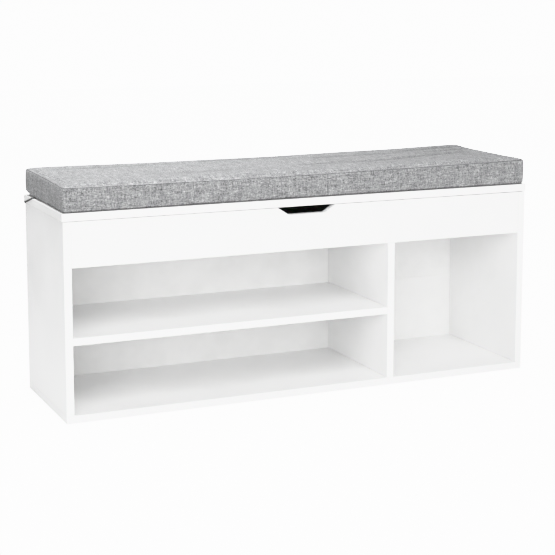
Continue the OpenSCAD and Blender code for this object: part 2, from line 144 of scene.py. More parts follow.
class BenchCushionSettings(bpy.types.PropertyGroup):
    thread_light: colour_setting(
        "Light thread", "Colour of the palest threads", (0.68, 0.683, 0.687))
    thread_middle: colour_setting("Middle thread", "Colour of most threads", (0.27, 0.272, 0.276))
    thread_dark: colour_setting(
        "Dark thread", "Colour of the darkest threads", (0.054, 0.055, 0.057))
    thread_pitch: size_setting("Thread pitch", "Distance between threads", 0.9, 0.2, 4)
    slub_length: size_setting(
        "Slub length", "Length of the thick and thin places in a thread", 9, 1, 80)
    corner_radius: size_setting("Corner radius", "Radius of the upright corners", 9, 5, 40)
    rim_radius: size_setting(
        "Rim radius", "Roundness of the edges where top and boxing meet", 2.5, 1, 15)
    crown: size_setting("Crown", "How far the stuffing may push the top up", 6, 0, 16)
    side_swell: size_setting("Side swell", "How far the stuffing pushes the boxing out", 2.2, 0, 8)
    side_pull: size_setting("Side pull", "How far the sides draw in between the corners", 3, 0, 10)
    seam_depth: size_setting("Seam depth", "How far the seams sink into the cover", 2.4, 0, 5)
    stitch_length: size_setting("Stitch length", "Length of one stitch", 2.8, 1, 8)
    stitch_gap: size_setting("Stitch gap", "Gap between two stitches", 1.0, 0.2, 5)
    thread_radius: size_setting("Thread radius", "Radius of the sewing thread", 0.4, 0.1, 1)
    pressure: FloatProperty(
        name="Pressure", description="Pressure of the stuffing in the cloth simulation",
        default=4, min=0, max=20)
    last_frame: IntProperty(
        name="Last frame", description="Frame at which the cloth simulation stops",
        default=20, min=2, max=60)


class BenchZipSettings(bpy.types.PropertyGroup):
    tooth_pitch: size_setting("Tooth pitch", "Distance between zip teeth", 2, 0.8, 5)
    tooth_width: size_setting("Tooth width", "Width of the row of teeth", 3, 1, 8)
    tape_colour: colour_setting("Tape colour", "Colour of the zip tape", (0.035, 0.035, 0.037))


class BenchHardwareSettings(bpy.types.PropertyGroup):
    steel: colour_setting("Steel", "Colour of the plated steel", (0.66, 0.665, 0.67))
    zinc: colour_setting("Zinc", "Colour of the cast cam locks", (0.5, 0.505, 0.515))
    thread_turn: size_setting(
        "Screw thread", "Distance between the turns of a screw thread", 2.4, 0.5, 5)


class BenchStageSettings(bpy.types.PropertyGroup):
    camera_place: FloatVectorProperty(
        name="Camera place", description="Where the camera stands",
        subtype="TRANSLATION", size=3, default=(-1.3118, -2.9286, 0.8803))
    camera_down: FloatProperty(
        name="Camera down", description="How far the camera looks down",
        subtype="ANGLE", default=math.radians(7.983))
    camera_round: FloatProperty(
        name="Camera round", description="How far the camera stands round to the left",
        subtype="ANGLE", default=math.radians(24.013))
    lens: FloatProperty(name="Lens", description="Focal length in millimetres", default=95.12)
    raise_view: FloatProperty(
        name="Vertical shift", description="Vertical shift of the lens", default=-0.16)
    daylight: FloatProperty(
        name="Daylight", description="Strength of the light from all around", default=0.42)
    over_power: power_setting("Light over the left end", 14)
    high_power: power_setting("High front light", 41)
    front_power: power_setting("Front light", 36)
    left_power: power_setting("Left front light", 50)


# ---------------------------------------------------------------- shader building blocks

def put(tree, kind, inputs=None, **settings):
    """Adds a node to a tree. inputs maps a socket's name or number to a value or to another socket."""
    node = tree.nodes.new(kind)
    for name, value in settings.items():
        setattr(node, name, value)
    for name, value in (inputs or {}).items():
        if isinstance(value, bpy.types.NodeSocket):
            tree.links.new(value, node.inputs[name])
        else:
            node.inputs[name].default_value = value
    return node


def maths(tree, operation, *values):
    """The result socket of a Math node."""
    node = put(tree, "ShaderNodeMath", dict(enumerate(values)), operation=operation)
    return node.outputs[0]


def blend_value(tree, share, low, high):
    """low where share is 0, high where it is 1."""
    node = put(tree, "ShaderNodeMix", {"Factor": share, 2: low, 3: high}, data_type="FLOAT")
    return node.outputs[0]


def ramp(tree, value, *stops):
    """A colour ramp through (place, colour) stops."""
    node = put(tree, "ShaderNodeValToRGB", {"Fac": value})
    elements = node.color_ramp.elements
    while len(elements) < len(stops):
        elements.new(0.5)
    for element, (place, colour) in zip(elements, stops):
        element.position = place
        element.color = (*colour, 1) if len(colour) == 3 else colour
    return node.outputs["Color"]


def shade(colour, factor):
    """A colour made lighter or darker."""
    return tuple(min(1.0, part * factor) for part in colour)


def shader_group(name, inputs, outputs):
    """An empty shader node group with its sockets, or None for the tree if it was made before."""
    found = bpy.data.node_groups.get(name)
    if found:
        return found, None, None
    tree = bpy.data.node_groups.new(name, "ShaderNodeTree")
    for label, kind, default in inputs:
        socket = tree.interface.new_socket(label, in_out="INPUT", socket_type=kind)
        if default is not None:
            socket.default_value = default
    for label, kind in outputs:
        tree.interface.new_socket(label, in_out="OUTPUT", socket_type=kind)
    return tree, tree.nodes.new("NodeGroupInput"), tree.nodes.new("NodeGroupOutput")


def peel_group():
    """Faint dimples and cloudiness of a pressed or moulded surface."""
    tree, inside, out = shader_group(
        "Pressed surface",
        [("Vector", "NodeSocketVector", None), ("Size", "NodeSocketFloat", 1.4 * MM),
         ("Cloud", "NodeSocketFloat", 120 * MM)],
        [("Height", "NodeSocketFloat"), ("Clouds", "NodeSocketFloat")])
    if inside is None:
        return tree
    place = inside.outputs["Vector"]
    fine = maths(tree, "DIVIDE", 1.0, inside.outputs["Size"])
    broad = maths(tree, "DIVIDE", 1.0, inside.outputs["Cloud"])
    dimples = put(tree, "ShaderNodeTexNoise", {"Vector": place, "Scale": fine, "Detail": 2.0})
    clouds = put(tree, "ShaderNodeTexNoise", {"Vector": place, "Scale": broad, "Detail": 3.0})
    tree.links.new(dimples.outputs["Fac"], out.inputs["Height"])
    tree.links.new(clouds.outputs["Fac"], out.inputs["Clouds"])
    return tree


# A streak's width in thread pitches, how much broader the bands are than single slubs,
# and the shares of the bands and of the melange clouds in the weave's shade
STREAK_WIDTH = 1.3
BAND_SIZE = 4.0
BAND_SHARE = 0.36
MELANGE_SHARE = 0.25


def weave_group():
    """A plain weave of slubby threads on a map in metres."""
    tree, inside, out = shader_group(
        "Slub weave",
        [("Map", "NodeSocketVector", None), ("Pitch", "NodeSocketFloat", 0.9 * MM),
         ("Slub", "NodeSocketFloat", 13 * MM), ("Patch", "NodeSocketFloat", 3 * MM)],
        [("Shade", "NodeSocketFloat"), ("Height", "NodeSocketFloat")])
    if inside is None:
        return tree
    pitch, slub = inside.outputs["Pitch"], inside.outputs["Slub"]
    parts = put(tree, "ShaderNodeSeparateXYZ", {"Vector": inside.outputs["Map"]})
    across, along = parts.outputs["X"], parts.outputs["Y"]
    streak_width = maths(tree, "MULTIPLY", pitch, STREAK_WIDTH)

    def cloud(first_size, second_size, offset):
        place = put(tree, "ShaderNodeCombineXYZ", {
            "X": maths(tree, "DIVIDE", across, first_size),
            "Y": maths(tree, "DIVIDE", along, second_size), "Z": offset})
        noisy = put(tree, "ShaderNodeTexNoise", {
            "Vector": place.outputs[0], "Scale": 1.0, "Detail": 1.0, "Roughness": 0.6})
        return noisy.outputs["Fac"]

    def streaks(first_size, second_size, offset):
        """Slubs in single threads, over broader bands where several threads change together."""
        broad = cloud(maths(tree, "MULTIPLY", first_size, BAND_SIZE),
                      maths(tree, "MULTIPLY", second_size, BAND_SIZE), offset + 3.7)
        return blend_value(tree, BAND_SHARE, cloud(first_size, second_size, offset), broad)

    def ridge(coordinate):
        """Rounded thread profile across one direction."""
        turn = maths(tree, "MULTIPLY", maths(tree, "DIVIDE", coordinate, pitch), math.pi)
        return maths(tree, "ABSOLUTE", maths(tree, "SINE", turn))

    warp = streaks(streak_width, slub, 0.0)
    weft = streaks(slub, streak_width, 7.3)
    melange = put(tree, "ShaderNodeTexNoise", {
        "Vector": inside.outputs["Map"],
        "Scale": maths(tree, "DIVIDE", 1.0, inside.outputs["Patch"]), "Detail": 1.0})
    cell_x = maths(tree, "FLOOR", maths(tree, "DIVIDE", across, pitch))
    cell_y = maths(tree, "FLOOR", maths(tree, "DIVIDE", along, pitch))
    over = maths(tree, "PINGPONG", maths(tree, "ADD", cell_x, cell_y), 1.0)
    thread = blend_value(tree, over, warp, weft)
    shade_value = blend_value(tree, MELANGE_SHARE, thread, melange.outputs["Fac"])
    height = blend_value(tree, over, ridge(across), ridge(along))
    tree.links.new(shade_value, out.inputs["Shade"])
    tree.links.new(maths(tree, "MULTIPLY", height, maths(tree, "ADD", thread, 0.5)),
                   out.inputs["Height"])
    return tree


def rubbed_group():
    """Handling marks on metal: fine scratches one way and dull patches."""
    tree, inside, out = shader_group(
        "Rubbed metal",
        [("Vector", "NodeSocketVector", None), ("Scratch", "NodeSocketFloat", 0.4 * MM),
         ("Patch", "NodeSocketFloat", 8 * MM)],
        [("Scratches", "NodeSocketFloat"), ("Patches", "NodeSocketFloat")])
    if inside is None:
        return tree
    stretched = put(tree, "ShaderNodeVectorMath",
                    {0: inside.outputs["Vector"], 1: (0.06, 1.0, 1.0)}, operation="MULTIPLY")
    scratches = put(tree, "ShaderNodeTexNoise", {
        "Vector": stretched.outputs[0], "Detail": 3.0,
        "Scale": maths(tree, "DIVIDE", 1.0, inside.outputs["Scratch"])})
    patches = put(tree, "ShaderNodeTexNoise", {
        "Vector": inside.outputs["Vector"], "Detail": 3.0,
        "Scale": maths(tree, "DIVIDE", 1.0, inside.outputs["Patch"])})
    tree.links.new(scratches.outputs["Fac"], out.inputs["Scratches"])
    tree.links.new(patches.outputs["Fac"], out.inputs["Patches"])
    return tree


def new_material(name, **constants):
    """A material with a Principled shader and Object coordinates."""
    material = bpy.data.materials.new(name)
    material.use_nodes = True
    tree = material.node_tree
    principled = tree.nodes["Principled BSDF"]
    for socket, value in constants.items():
        principled.inputs[socket.replace("_", " ")].default_value = value
    place = put(tree, "ShaderNodeTexCoord").outputs["Object"]
    return material, tree, principled, place


def bump(tree, principled, height, depth):
    """Bump of the given depth in metres."""
    node = put(tree, "ShaderNodeBump", {"Height": height, "Distance": depth, "Strength": 1.0})
    tree.links.new(node.outputs["Normal"], principled.inputs["Normal"])


# How much darker a rounded board edge is, as edge wear and painted shade in the joints, and how much the
# clouds change the roughness
EDGE_WEAR_AND_SHADE = 0.86
GLOSS_CHANGE = 0.05


def pressed_material(name, colour, roughness, peel, depth, cloud=0.14, spread=0.03, **constants):
    """Melamine, foil, moulded plastic or rubber: dimples, cloudiness, and rounded edges darkened as wear
    and painted joint shade.
    """
    material, tree, principled, place = new_material(name, **constants)
    group = put(tree, "ShaderNodeGroup", node_tree=peel_group())
    tree.links.new(place, group.inputs["Vector"])
    group.inputs["Size"].default_value = peel
    group.inputs["Cloud"].default_value = cloud
    tone = ramp(tree, group.outputs["Clouds"],
                (0.3, shade(colour, 1 - spread)), (0.7, shade(colour, 1 + spread)))
    # Edge wear and painted shade in the joints: the rounded edges are darkened
    edge_wear_and_shade = put(tree, "ShaderNodeAttribute", attribute_name="edge").outputs["Fac"]
    worn_and_shaded = put(tree, "ShaderNodeMix", {"Factor": edge_wear_and_shade, 6: tone, 7: (*shade(colour, EDGE_WEAR_AND_SHADE), 1)},
               data_type="RGBA")
    tree.links.new(worn_and_shaded.outputs[2], principled.inputs["Base Color"])
    gloss = put(tree, "ShaderNodeMapRange", {
        "Value": group.outputs["Clouds"], "From Min": 0.3, "From Max": 0.7,
        "To Min": roughness - GLOSS_CHANGE, "To Max": roughness + GLOSS_CHANGE})
    tree.links.new(gloss.outputs[0], principled.inputs["Roughness"])
    bump(tree, principled, group.outputs["Height"], depth)
    return material


def metal_material(name, colour, roughness, scratch, grain, depth):
    """Plated or cast metal."""
    material, tree, principled, place = new_material(name, Metallic=1.0)
    group = put(tree, "ShaderNodeGroup", node_tree=rubbed_group())
    tree.links.new(place, group.inputs["Vector"])
    group.inputs["Scratch"].default_value = scratch
    group.inputs["Patch"].default_value = grain
    tone = ramp(tree, group.outputs["Patches"], (0.3, shade(colour, 0.82)), (0.7, shade(colour, 1.1)))
    tree.links.new(tone, principled.inputs["Base Color"])
    dull = maths(tree, "ADD", maths(tree, "MULTIPLY", group.outputs["Scratches"], 0.22), roughness)
    tree.links.new(dull, principled.inputs["Roughness"])
    bump(tree, principled, group.outputs["Scratches"], depth)
    return material


# How strongly painted shade, in the dark thread's colour, darkens the seams and the bottoms of the furrows
SEAM_DARKENING = 1.1
FURROW_DARKENING = 0.55
MELANGE_PATCH = 3.2


def linen_material(settings):
    """Grey melange linen with light and dark slubs, and painted shade in the seams and furrows."""
    material, tree, principled, _ = new_material(
        "melange_linen", Roughness=0.92, Sheen_Weight=0.25, Sheen_Roughness=0.5)
    sheet = put(tree, "ShaderNodeUVMap", uv_map="cloth").outputs["UV"]
    group = put(tree, "ShaderNodeGroup", node_tree=weave_group())
    tree.links.new(sheet, group.inputs["Map"])
    group.inputs["Pitch"].default_value = settings.thread_pitch
    group.inputs["Slub"].default_value = settings.slub_length
    group.inputs["Patch"].default_value = MELANGE_PATCH * settings.thread_pitch
    tone = ramp(tree, group.outputs["Shade"],
                (0.375, tuple(settings.thread_dark)), (0.467, tuple(settings.thread_middle)),
                (0.533, shade(settings.thread_middle, 1.25)), (0.625, tuple(settings.thread_light)))
    sunk = put(tree, "ShaderNodeAttribute", attribute_name="seam").outputs["Fac"]
    creased = put(tree, "ShaderNodeAttribute", attribute_name="crease").outputs["Fac"]
    in_seam = maths(tree, "MULTIPLY", sunk, SEAM_DARKENING)
    in_furrow = maths(tree, "MULTIPLY", creased, FURROW_DARKENING)
    painted_seam_and_furrow_shade = maths(tree, "MAXIMUM", in_seam, in_furrow)
    # Painted shade: the seams and furrows are darkened towards the dark thread's colour
    shaded = put(tree, "ShaderNodeMix", {
        "Factor": painted_seam_and_furrow_shade, 6: tone, 7: (*settings.thread_dark, 1)}, data_type="RGBA")
    tree.links.new(shaded.outputs[2], principled.inputs["Base Color"])
    principled.inputs["Sheen Tint"].default_value = (0.9, 0.9, 0.92, 1)
    bump(tree, principled, group.outputs["Height"], 0.35 * settings.thread_pitch)
    return material


def ribbed_material(name, colour, pitch, depth):
    """Woven narrow tape or elastic: ribs across its length, on its own map."""
    material, tree, principled, _ = new_material(name, Roughness=0.8, Sheen_Weight=0.2)
    sheet = put(tree, "ShaderNodeUVMap", uv_map="cloth").outputs["UV"]
    group = put(tree, "ShaderNodeGroup", node_tree=weave_group())
    tree.links.new(sheet, group.inputs["Map"])
    group.inputs["Pitch"].default_value = pitch
    group.inputs["Slub"].default_value = 6 * pitch
    group.inputs["Patch"].default_value = 4 * pitch
    tone = ramp(tree, group.outputs["Shade"], (0.3, shade(colour, 0.5)), (0.7, shade(colour, 1.8)))
    tree.links.new(tone, principled.inputs["Base Color"])
    bump(tree, principled, group.outputs["Height"], depth)
    return material


def beech_material():
    """Beech dowel: long grain with short darker flecks."""
    material, tree, principled, place = new_material("beech_wood", Roughness=0.6)
    long_grain = put(tree, "ShaderNodeVectorMath", {0: place, 1: (0.05, 1.0, 1.0)}, operation="MULTIPLY")
    grain = put(tree, "ShaderNodeTexNoise", {
        "Vector": long_grain.outputs[0], "Scale": 900.0, "Detail": 4.0})
    tone = ramp(tree, grain.outputs["Fac"], (0.3, (0.42, 0.27, 0.14)), (0.7, (0.68, 0.5, 0.31)))
    tree.links.new(tone, principled.inputs["Base Color"])
    bump(tree, principled, grain.outputs["Fac"], 0.1 * MM)
    return material


# ---------------------------------------------------------------- mesh building blocks

def add_object(name, data):
    """A new object in the scene, at the origin."""
    added = bpy.data.objects.new(name, data)
    bpy.context.scene.collection.objects.link(added)
    return added


def new_piece(name, bm, material):
    """A finished object made from a bmesh."""
    mesh = bpy.data.meshes.new(name)
    bm.to_mesh(mesh)
    bm.free()
    mesh.materials.append(material)
    return add_object(name, mesh)


def finish_piece(piece, body, slot, *nodes):
    """Tells the frame what a piece rides on and hides the nodes that it stands for. The slot is not used.
    """
    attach(piece, body)
    if nodes:
        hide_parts(*nodes)


def dress(node, material):
    """Gives a carried-over node its material."""
    mesh = frame["nodes"][node].data
    mesh.materials.clear()
    mesh.materials.append(material)


def merged_copy(node):
    """A bmesh of a node with its loose triangles joined."""
    bm = bmesh.new()
    bm.from_mesh(frame["nodes"][node].data)
    bmesh.ops.remove_doubles(bm, verts=bm.verts, dist=0.002 * MM)
    return bm


def solids(node):
    """The lowest and highest corner of each separate solid of a node, in a settled order."""
    bm = merged_copy(node)
    seen, boxes = set(), []
    for start in bm.verts:
        if start.index in seen:
            continue
        seen.add(start.index)
        heap, members = [start], []
        while heap:
            vert = heap.pop()
            members.append(vert.co.copy())
            for edge in vert.link_edges:
                other = edge.other_vert(vert)
                if other.index not in seen:
                    seen.add(other.index)
                    heap.append(other)
        points = np.array(members)
        boxes.append((Vector(points.min(0)), Vector(points.max(0))))
    bm.free()
    return sorted(boxes, key=lambda box: tuple(round(part, 4) for part in box[0]))


# Faces larger than this are shaded flat
FLAT_FACE = 40 * MM * MM
# Edges that turn more than this are square ones
SQUARE_EDGE = math.radians(30)


def softened_board(node, name, material, radius, shortest=12 * MM):
    """A node's board with a small radius along its long edges, marked for the edge wear and painted joint
    shade.
    """
    bm = merged_copy(node)
    bmesh.ops.dissolve_limit(bm, angle_limit=math.radians(0.5), verts=bm.verts, edges=bm.edges)
    edges = [edge for edge in bm.edges
             if edge.is_manifold and edge.is_convex and edge.calc_length() > shortest
             and edge.calc_face_angle() > SQUARE_EDGE]
    result = bmesh.ops.bevel(bm, geom=edges, offset=radius, offset_type="OFFSET", segments=2,
                             profile=0.5, affect="EDGES", clamp_overlap=True)
    # The edge mark carries the edge wear and the painted joint shade
    worn_and_shaded = bm.verts.layers.float.new("edge")
    rounded = set(result["faces"])
    for vert in {vert for face in rounded for vert in face.verts}:
        if rounded.issuperset(vert.link_faces):
            vert[worn_and_shaded] = 1.0
    for face in bm.faces:
        face.smooth = face.smooth and face.calc_area() < FLAT_FACE
    bmesh.ops.triangulate(bm, faces=[face for face in bm.faces if len(face.verts) > 4])
    return new_piece(name, bm, material)


def lathe(bm, profile, sides, centre=(0, 0, 0)):
    """Turns (radius, height) points round Z. A radius of 0 at either end closes the shape."""
    rings = []
    for radius, height in profile:
        if radius == 0:
            rings.append([bm.verts.new((centre[0], centre[1], centre[2] + height))])
            continue
        rings.append([bm.verts.new((centre[0] + radius * math.cos(turn),
                                    centre[1] + radius * math.sin(turn), centre[2] + height))
                      for turn in (math.tau * i / sides for i in range(sides))])
    for low, high in zip(rings, rings[1:]):
        for i in range(sides):
            j = (i + 1) % sides
            corners = [low[i % len(low)], low[j % len(low)], high[j % len(high)], high[i % len(high)]]
            unique = list(dict.fromkeys(corners))
            if len(unique) > 2:
                bm.faces.new(unique)
    return rings


# ---------------------------------------------------------------- repeats by Geometry Nodes

def geometry_tree(name, inputs):
    """An empty Geometry Nodes tree with named inputs after its geometry."""
    tree = bpy.data.node_groups.new(name, "GeometryNodeTree")
    tree.interface.new_socket("Geometry", in_out="INPUT", socket_type="NodeSocketGeometry")
    for label, kind in inputs:
        tree.interface.new_socket(label, in_out="INPUT", socket_type=kind)
    tree.interface.new_socket("Geometry", in_out="OUTPUT", socket_type="NodeSocketGeometry")
    return tree, tree.nodes.new("NodeGroupInput"), tree.nodes.new("NodeGroupOutput")


def close_tree(tree, out, instances, material):
    """Ends a tree in real geometry with its material."""
    real = put(tree, "GeometryNodeRealizeInstances", {"Geometry": instances})
    painted = put(tree, "GeometryNodeSetMaterial", {"Geometry": real.outputs[0], "Material": material})
    tree.links.new(painted.outputs[0], out.inputs["Geometry"])


def run_tree(path, name, tree, values):
    """Runs a tree on a helper object and returns the result as a plain piece."""
    modifier = path.modifiers.new(name, "NODES")
    modifier.node_group = tree
    sockets = {item.name: item.identifier for item in tree.interface.items_tree
               if item.in_out == "INPUT"}
    for label, value in values.items():
        modifier[sockets[label]] = value
    depsgraph = bpy.context.evaluated_depsgraph_get()
    mesh = bpy.data.meshes.new_from_object(path.evaluated_get(depsgraph))
    mesh.name = name
    path.modifiers.remove(modifier)
    bpy.data.objects.remove(path)
    return add_object(name, mesh)


def repeat_tree(material):
    """Sets one shape on every point, turned by the point's own angles."""
    tree, inside, out = geometry_tree("Repeated fitting", [("Fitting", "NodeSocketObject")])
    shape = put(tree, "GeometryNodeObjectInfo", {"Object": inside.outputs["Fitting"]},
                transform_space="ORIGINAL")
    turn = put(tree, "GeometryNodeInputNamedAttribute", {"Name": "turn"}, data_type="FLOAT_VECTOR")
    placed = put(tree, "GeometryNodeInstanceOnPoints", {
        "Points": inside.outputs["Geometry"], "Instance": shape.outputs["Geometry"],
        "Rotation": turn.outputs["Attribute"]})
    close_tree(tree, out, placed.outputs[0], material)
    return tree


def repeat_shape(name, shape, places, material):
    """One piece made of a shape repeated at (point, angles) places."""
    mesh = bpy.data.meshes.new(name + "_places")
    mesh.from_pydata([point for point, _ in places], [], [])
    turns = mesh.attributes.new("turn", "FLOAT_VECTOR", "POINT")
    turns.data.foreach_set("vector", [angle for _, angles in places for angle in angles])
    points = add_object(name + "_places", mesh)
    piece = run_tree(points, name, repeat_tree(material), {"Fitting": shape})
    bpy.data.objects.remove(shape)
    return piece


def stitch_tree(material):
    """A row of stitches along the edges of the path: short rounded capsules end to end."""
    tree, inside, out = geometry_tree("Stitch row", [
        ("Stitch length", "NodeSocketFloat"), ("Gap", "NodeSocketFloat"),
        ("Thread radius", "NodeSocketFloat")])
    length, radius = inside.outputs["Stitch length"], inside.outputs["Thread radius"]
    path = put(tree, "GeometryNodeMeshToCurve", {"Mesh": inside.outputs["Geometry"]})
    step = maths(tree, "ADD", length, inside.outputs["Gap"])
    row = put(tree, "GeometryNodeResampleCurve", {"Curve": path.outputs[0], "Length": step},
              mode="LENGTH")
    bead = put(tree, "GeometryNodeMeshUVSphere", {"Segments": 6, "Rings": 4, "Radius": 1.0})
    along = put(tree, "GeometryNodeInputTangent")
    turned = put(tree, "FunctionNodeAlignRotationToVector", {"Vector": along.outputs[0]}, axis="Z")
    half = maths(tree, "MULTIPLY", length, 0.5)
    size = put(tree, "ShaderNodeCombineXYZ", {"X": radius, "Y": radius, "Z": half})
    placed = put(tree, "GeometryNodeInstanceOnPoints", {
        "Points": row.outputs[0], "Instance": bead.outputs["Mesh"],
        "Rotation": turned.outputs[0], "Scale": size.outputs[0]})
    close_tree(tree, out, placed.outputs[0], material)
    return tree


# ---------------------------------------------------------------- the cushion

# Soft furrows in the cushion's top: start, end, depth and half width, from the cushion's centre
FURROWS = (
    ((-0.155, 0.096), (0.080, 0.102), 2.4 * MM, 13 * MM),
    ((0.030, -0.038), (0.240, -0.040), 3.8 * MM, 12 * MM),
    ((0.230, -0.040), (0.470, 0.000), 4.6 * MM, 12 * MM),
    ((0.330, 0.072), (0.500, 0.088), 4.0 * MM, 13 * MM),
    ((0.380, 0.030), (0.525, 0.050), 3.8 * MM, 11 * MM),
    ((0.100, 0.050), (0.330, 0.056), 2.6 * MM, 14 * MM),
    ((-0.480, 0.074), (-0.230, 0.078), 2.2 * MM, 16 * MM),
    ((-0.330, -0.060), (-0.100, -0.050), 1.6 * MM, 18 * MM),
)
# A furrow as deep as this gets the full painted shade, and each fades in from the seam over this far
DEEP_FURROW = 4 * MM
FURROW_FADE = 14 * MM
# Spacing of the grid lines beside a seam, and along the length, depth and height elsewhere
RIM_STEPS = (1.5 * MM, 2.5 * MM, 3.5 * MM, 5 * MM)
GRID_PITCH = (8 * MM, 7 * MM, 5 * MM)
# How far the top's corners stand up, front then rear, left then right, and how slack the rims hang
CORNER_LIFTS = ((1 * MM, 6.5 * MM), (6.7 * MM, 10 * MM))
FRONT_SLACK = 3.8 * MM
REAR_SLACK = 2.8 * MM
# How far in from the seam the top reaches its full crown
CROWN_REACH = 45 * MM
# How far in from the outline the sides draw in
PULL_REACH = 80 * MM
# Lumps in the top: height, length and width
LUMPS = (1.3 * MM, 160 * MM, 45 * MM)
# Creases in the boxing: depth, length and height
CREASES = (0.7 * MM, 20 * MM, 12 * MM)
# The left rear corner, which stands off the lid: height and radius
LIFTED_CORNER = (6 * MM, 30 * MM)
# Puckers along the seams: length and share of the seam's depth
PUCKERS = (9 * MM, 0.45)
# How deep the boxing's upright seam is, as a share of the rims'
UPRIGHT_SEAM = 0.4
# The elastic's size, and where it turns over the lid's edges, from the corner
ELASTIC_WIDTH = 4 * MM
ELASTIC_THICKNESS = 1.5 * MM
ELASTIC_FAR = 71 * MM
ELASTIC_NEAR = 9 * MM
ELASTIC_TAB = 6 * MM
BOXING_SEAM_X = 44 * MM
# The upright fold in the left end: place, depth and half width
SIDE_FOLD = (78 * MM, 2.6 * MM, 5 * MM)
# Share of the side swell that the simulation may use
SIMULATED_SWELL = 0.4
# Distances that count as on a seam, and as on the outline
TOUCHING = 1e-7
ON_OUTLINE = 1e-6


def marks(low, high, pitch, *seams):
    """Grid lines from low to high: close at both ends and beside each seam."""
    ends = np.cumsum((0,) + RIM_STEPS)
    count = round((high - low - 2 * ends[-1]) / pitch)
    lines = list(low + ends[:-1]) + list(np.linspace(low + ends[-1], high - ends[-1], count + 1))
    lines += list(high - ends[:-1])
    for seam in seams:
        beside = [seam - RIM_STEPS[0], seam, seam + RIM_STEPS[0]]
        lines = [line for line in lines if abs(line - seam) > 0.75 * pitch] + beside
    return sorted(lines)


def box_skin(xs, ys, zs):
    """Grid places and outward quads over the six sides of a box."""
    index, places, quads = {}, [], []

    def vert(i, j, k):
        if (i, j, k) not in index:
            index[i, j, k] = len(places)
            places.append((xs[i], ys[j], zs[k]))
        return index[i, j, k]

    last_x, last_y, last_z = len(xs) - 1, len(ys) - 1, len(zs) - 1

    def side(count_a, count_b, at, outward):
        for a in range(count_a):
            for b in range(count_b):
                quad = [vert(*at(a, b)), vert(*at(a + 1, b)), vert(*at(a + 1, b + 1)), vert(*at(a, b + 1))]
                quads.append(quad if outward else quad[::-1])

    side(last_x, last_y, lambda a, b: (a, b, last_z), True)
    side(last_x, last_y, lambda a, b: (a, b, 0), False)
    side(last_x, last_z, lambda a, b: (a, 0, b), True)
    side(last_x, last_z, lambda a, b: (a, last_y, b), False)
    side(last_y, last_z, lambda a, b: (last_x, a, b), True)
    side(last_y, last_z, lambda a, b: (0, a, b), False)
    return places, quads


def outline_place(x, y, half_x, half_y, radius):
    """Distance in from the cushion's outline, the nearest point on it, and the way out from there."""
    sx, sy = math.copysign(1, x), math.copysign(1, y)
    u = (abs(x) - (half_x - radius)) / radius
    v = (abs(y) - (half_y - radius)) / radius
    if u > 0 and v > 0:
        length = math.hypot(u, v)
        way = Vector((sx * u / length, sy * v / length, 0))
        centre = Vector((sx * (half_x - radius), sy * (half_y - radius), 0))
        return radius * (1 - max(u, v)), centre + way * radius, way
    if half_x - abs(x) < half_y - abs(y):
        return half_x - abs(x), Vector((sx * half_x, y, 0)), Vector((sx, 0, 0))
    return half_y - abs(y), Vector((x, sy * half_y, 0)), Vector((0, sy, 0))


def cushion_shape(place, half, radius, rim, pull):
    """Where a grid place lies on the cut and sewn cover before it is stuffed."""
    x, y, z = place
    inset, foot, way = outline_place(x, y, half.x, half.y, radius)
    on_top, on_base = z > half.z - TOUCHING, z < -half.z + TOUCHING
    depth = half.z - abs(z)
    turn = math.pi / 4
    if (on_top or on_base) and inset < rim:
        turn *= 1 + inset / rim
        inset, depth = rim * (1 - math.cos(turn)), rim * (1 - math.sin(turn))
    elif not (on_top or on_base) and depth < rim:
        turn *= 1 - depth / rim
        inset, depth = rim * (1 - math.cos(turn)), rim * (1 - math.sin(turn))
    point = foot - way * inset if inset < radius else Vector((x, y, 0))
    share = 1 - (x / half.x) ** 2 if abs(way.y) > abs(way.x) else 1 - (y / half.y) ** 2
    drawn = pull * max(0, share) * max(0, 1 - inset / PULL_REACH)
    point -= way * drawn
    point.z = math.copysign(half.z - depth, z)
    return point


def stuffing_room(place, half, settings):
    """How far the stuffing may push a grid place: not at all on a seam, fully well inside a panel."""
    x, y, z = place
    inset = outline_place(x, y, half.x, half.y, settings.corner_radius)[0]
    if z > half.z - TOUCHING:
        inside = 1 - (1 - min(1, max(0, inset) / CROWN_REACH)) ** 2
        return Vector((0, 0, settings.crown * inside))
    if z < -half.z + TOUCHING:
        return Vector((0, 0, 0))
    swell = SIMULATED_SWELL * settings.side_swell * (1 - (z / half.z) ** 2)
    return Vector((swell, swell, 0))


# Stiffness of the cover in the simulation, stretched or squeezed and bent
STRETCH_STIFFNESS, BEND_STIFFNESS = 25, 2


def stuff(piece, settings, start, room):
    """Inflates the cover with a cloth simulation and caps how far each point moves."""
    cloth = piece.modifiers.new("stuffing", "CLOTH")
    cloth.settings.use_pressure = True
    cloth.settings.uniform_pressure_force = settings.pressure
    cloth.settings.effector_weights.gravity = 0
    cloth.settings.vertex_group_mass = "rest"
    cloth.settings.tension_stiffness = STRETCH_STIFFNESS
    cloth.settings.compression_stiffness = STRETCH_STIFFNESS
    cloth.settings.bending_stiffness = BEND_STIFFNESS
    cloth.point_cache.frame_start = 1
    cloth.point_cache.frame_end = settings.last_frame
    scene = bpy.context.scene
    for number in range(1, settings.last_frame + 1):
        scene.frame_set(number)
    evaluated = piece.evaluated_get(bpy.context.evaluated_depsgraph_get())
    swollen = np.array([vert.co for vert in evaluated.data.vertices])
    piece.modifiers.remove(cloth)
    scene.frame_set(1)
    return start + np.clip(swollen - start, -room, room)


def furrow_depth(x, y):
    """How deep the furrows are at a place on the cushion's top."""
    total = 0
    for (x0, y0), (x1, y1), depth, width in FURROWS:
        run = Vector((x1 - x0, y1 - y0))
        share = ((x - x0) * run.x + (y - y0) * run.y) / run.length_squared
        held = min(1, max(0, share))
        gap = math.hypot(x - x0 - held * run.x, y - y0 - held * run.y) / width
        fade = math.sin(math.pi * min(1, max(0, 0.1 + 0.8 * held))) ** 0.6
        total += depth * fade * (1 - 0.55 * gap * gap) * math.exp(-gap * gap)
    return total


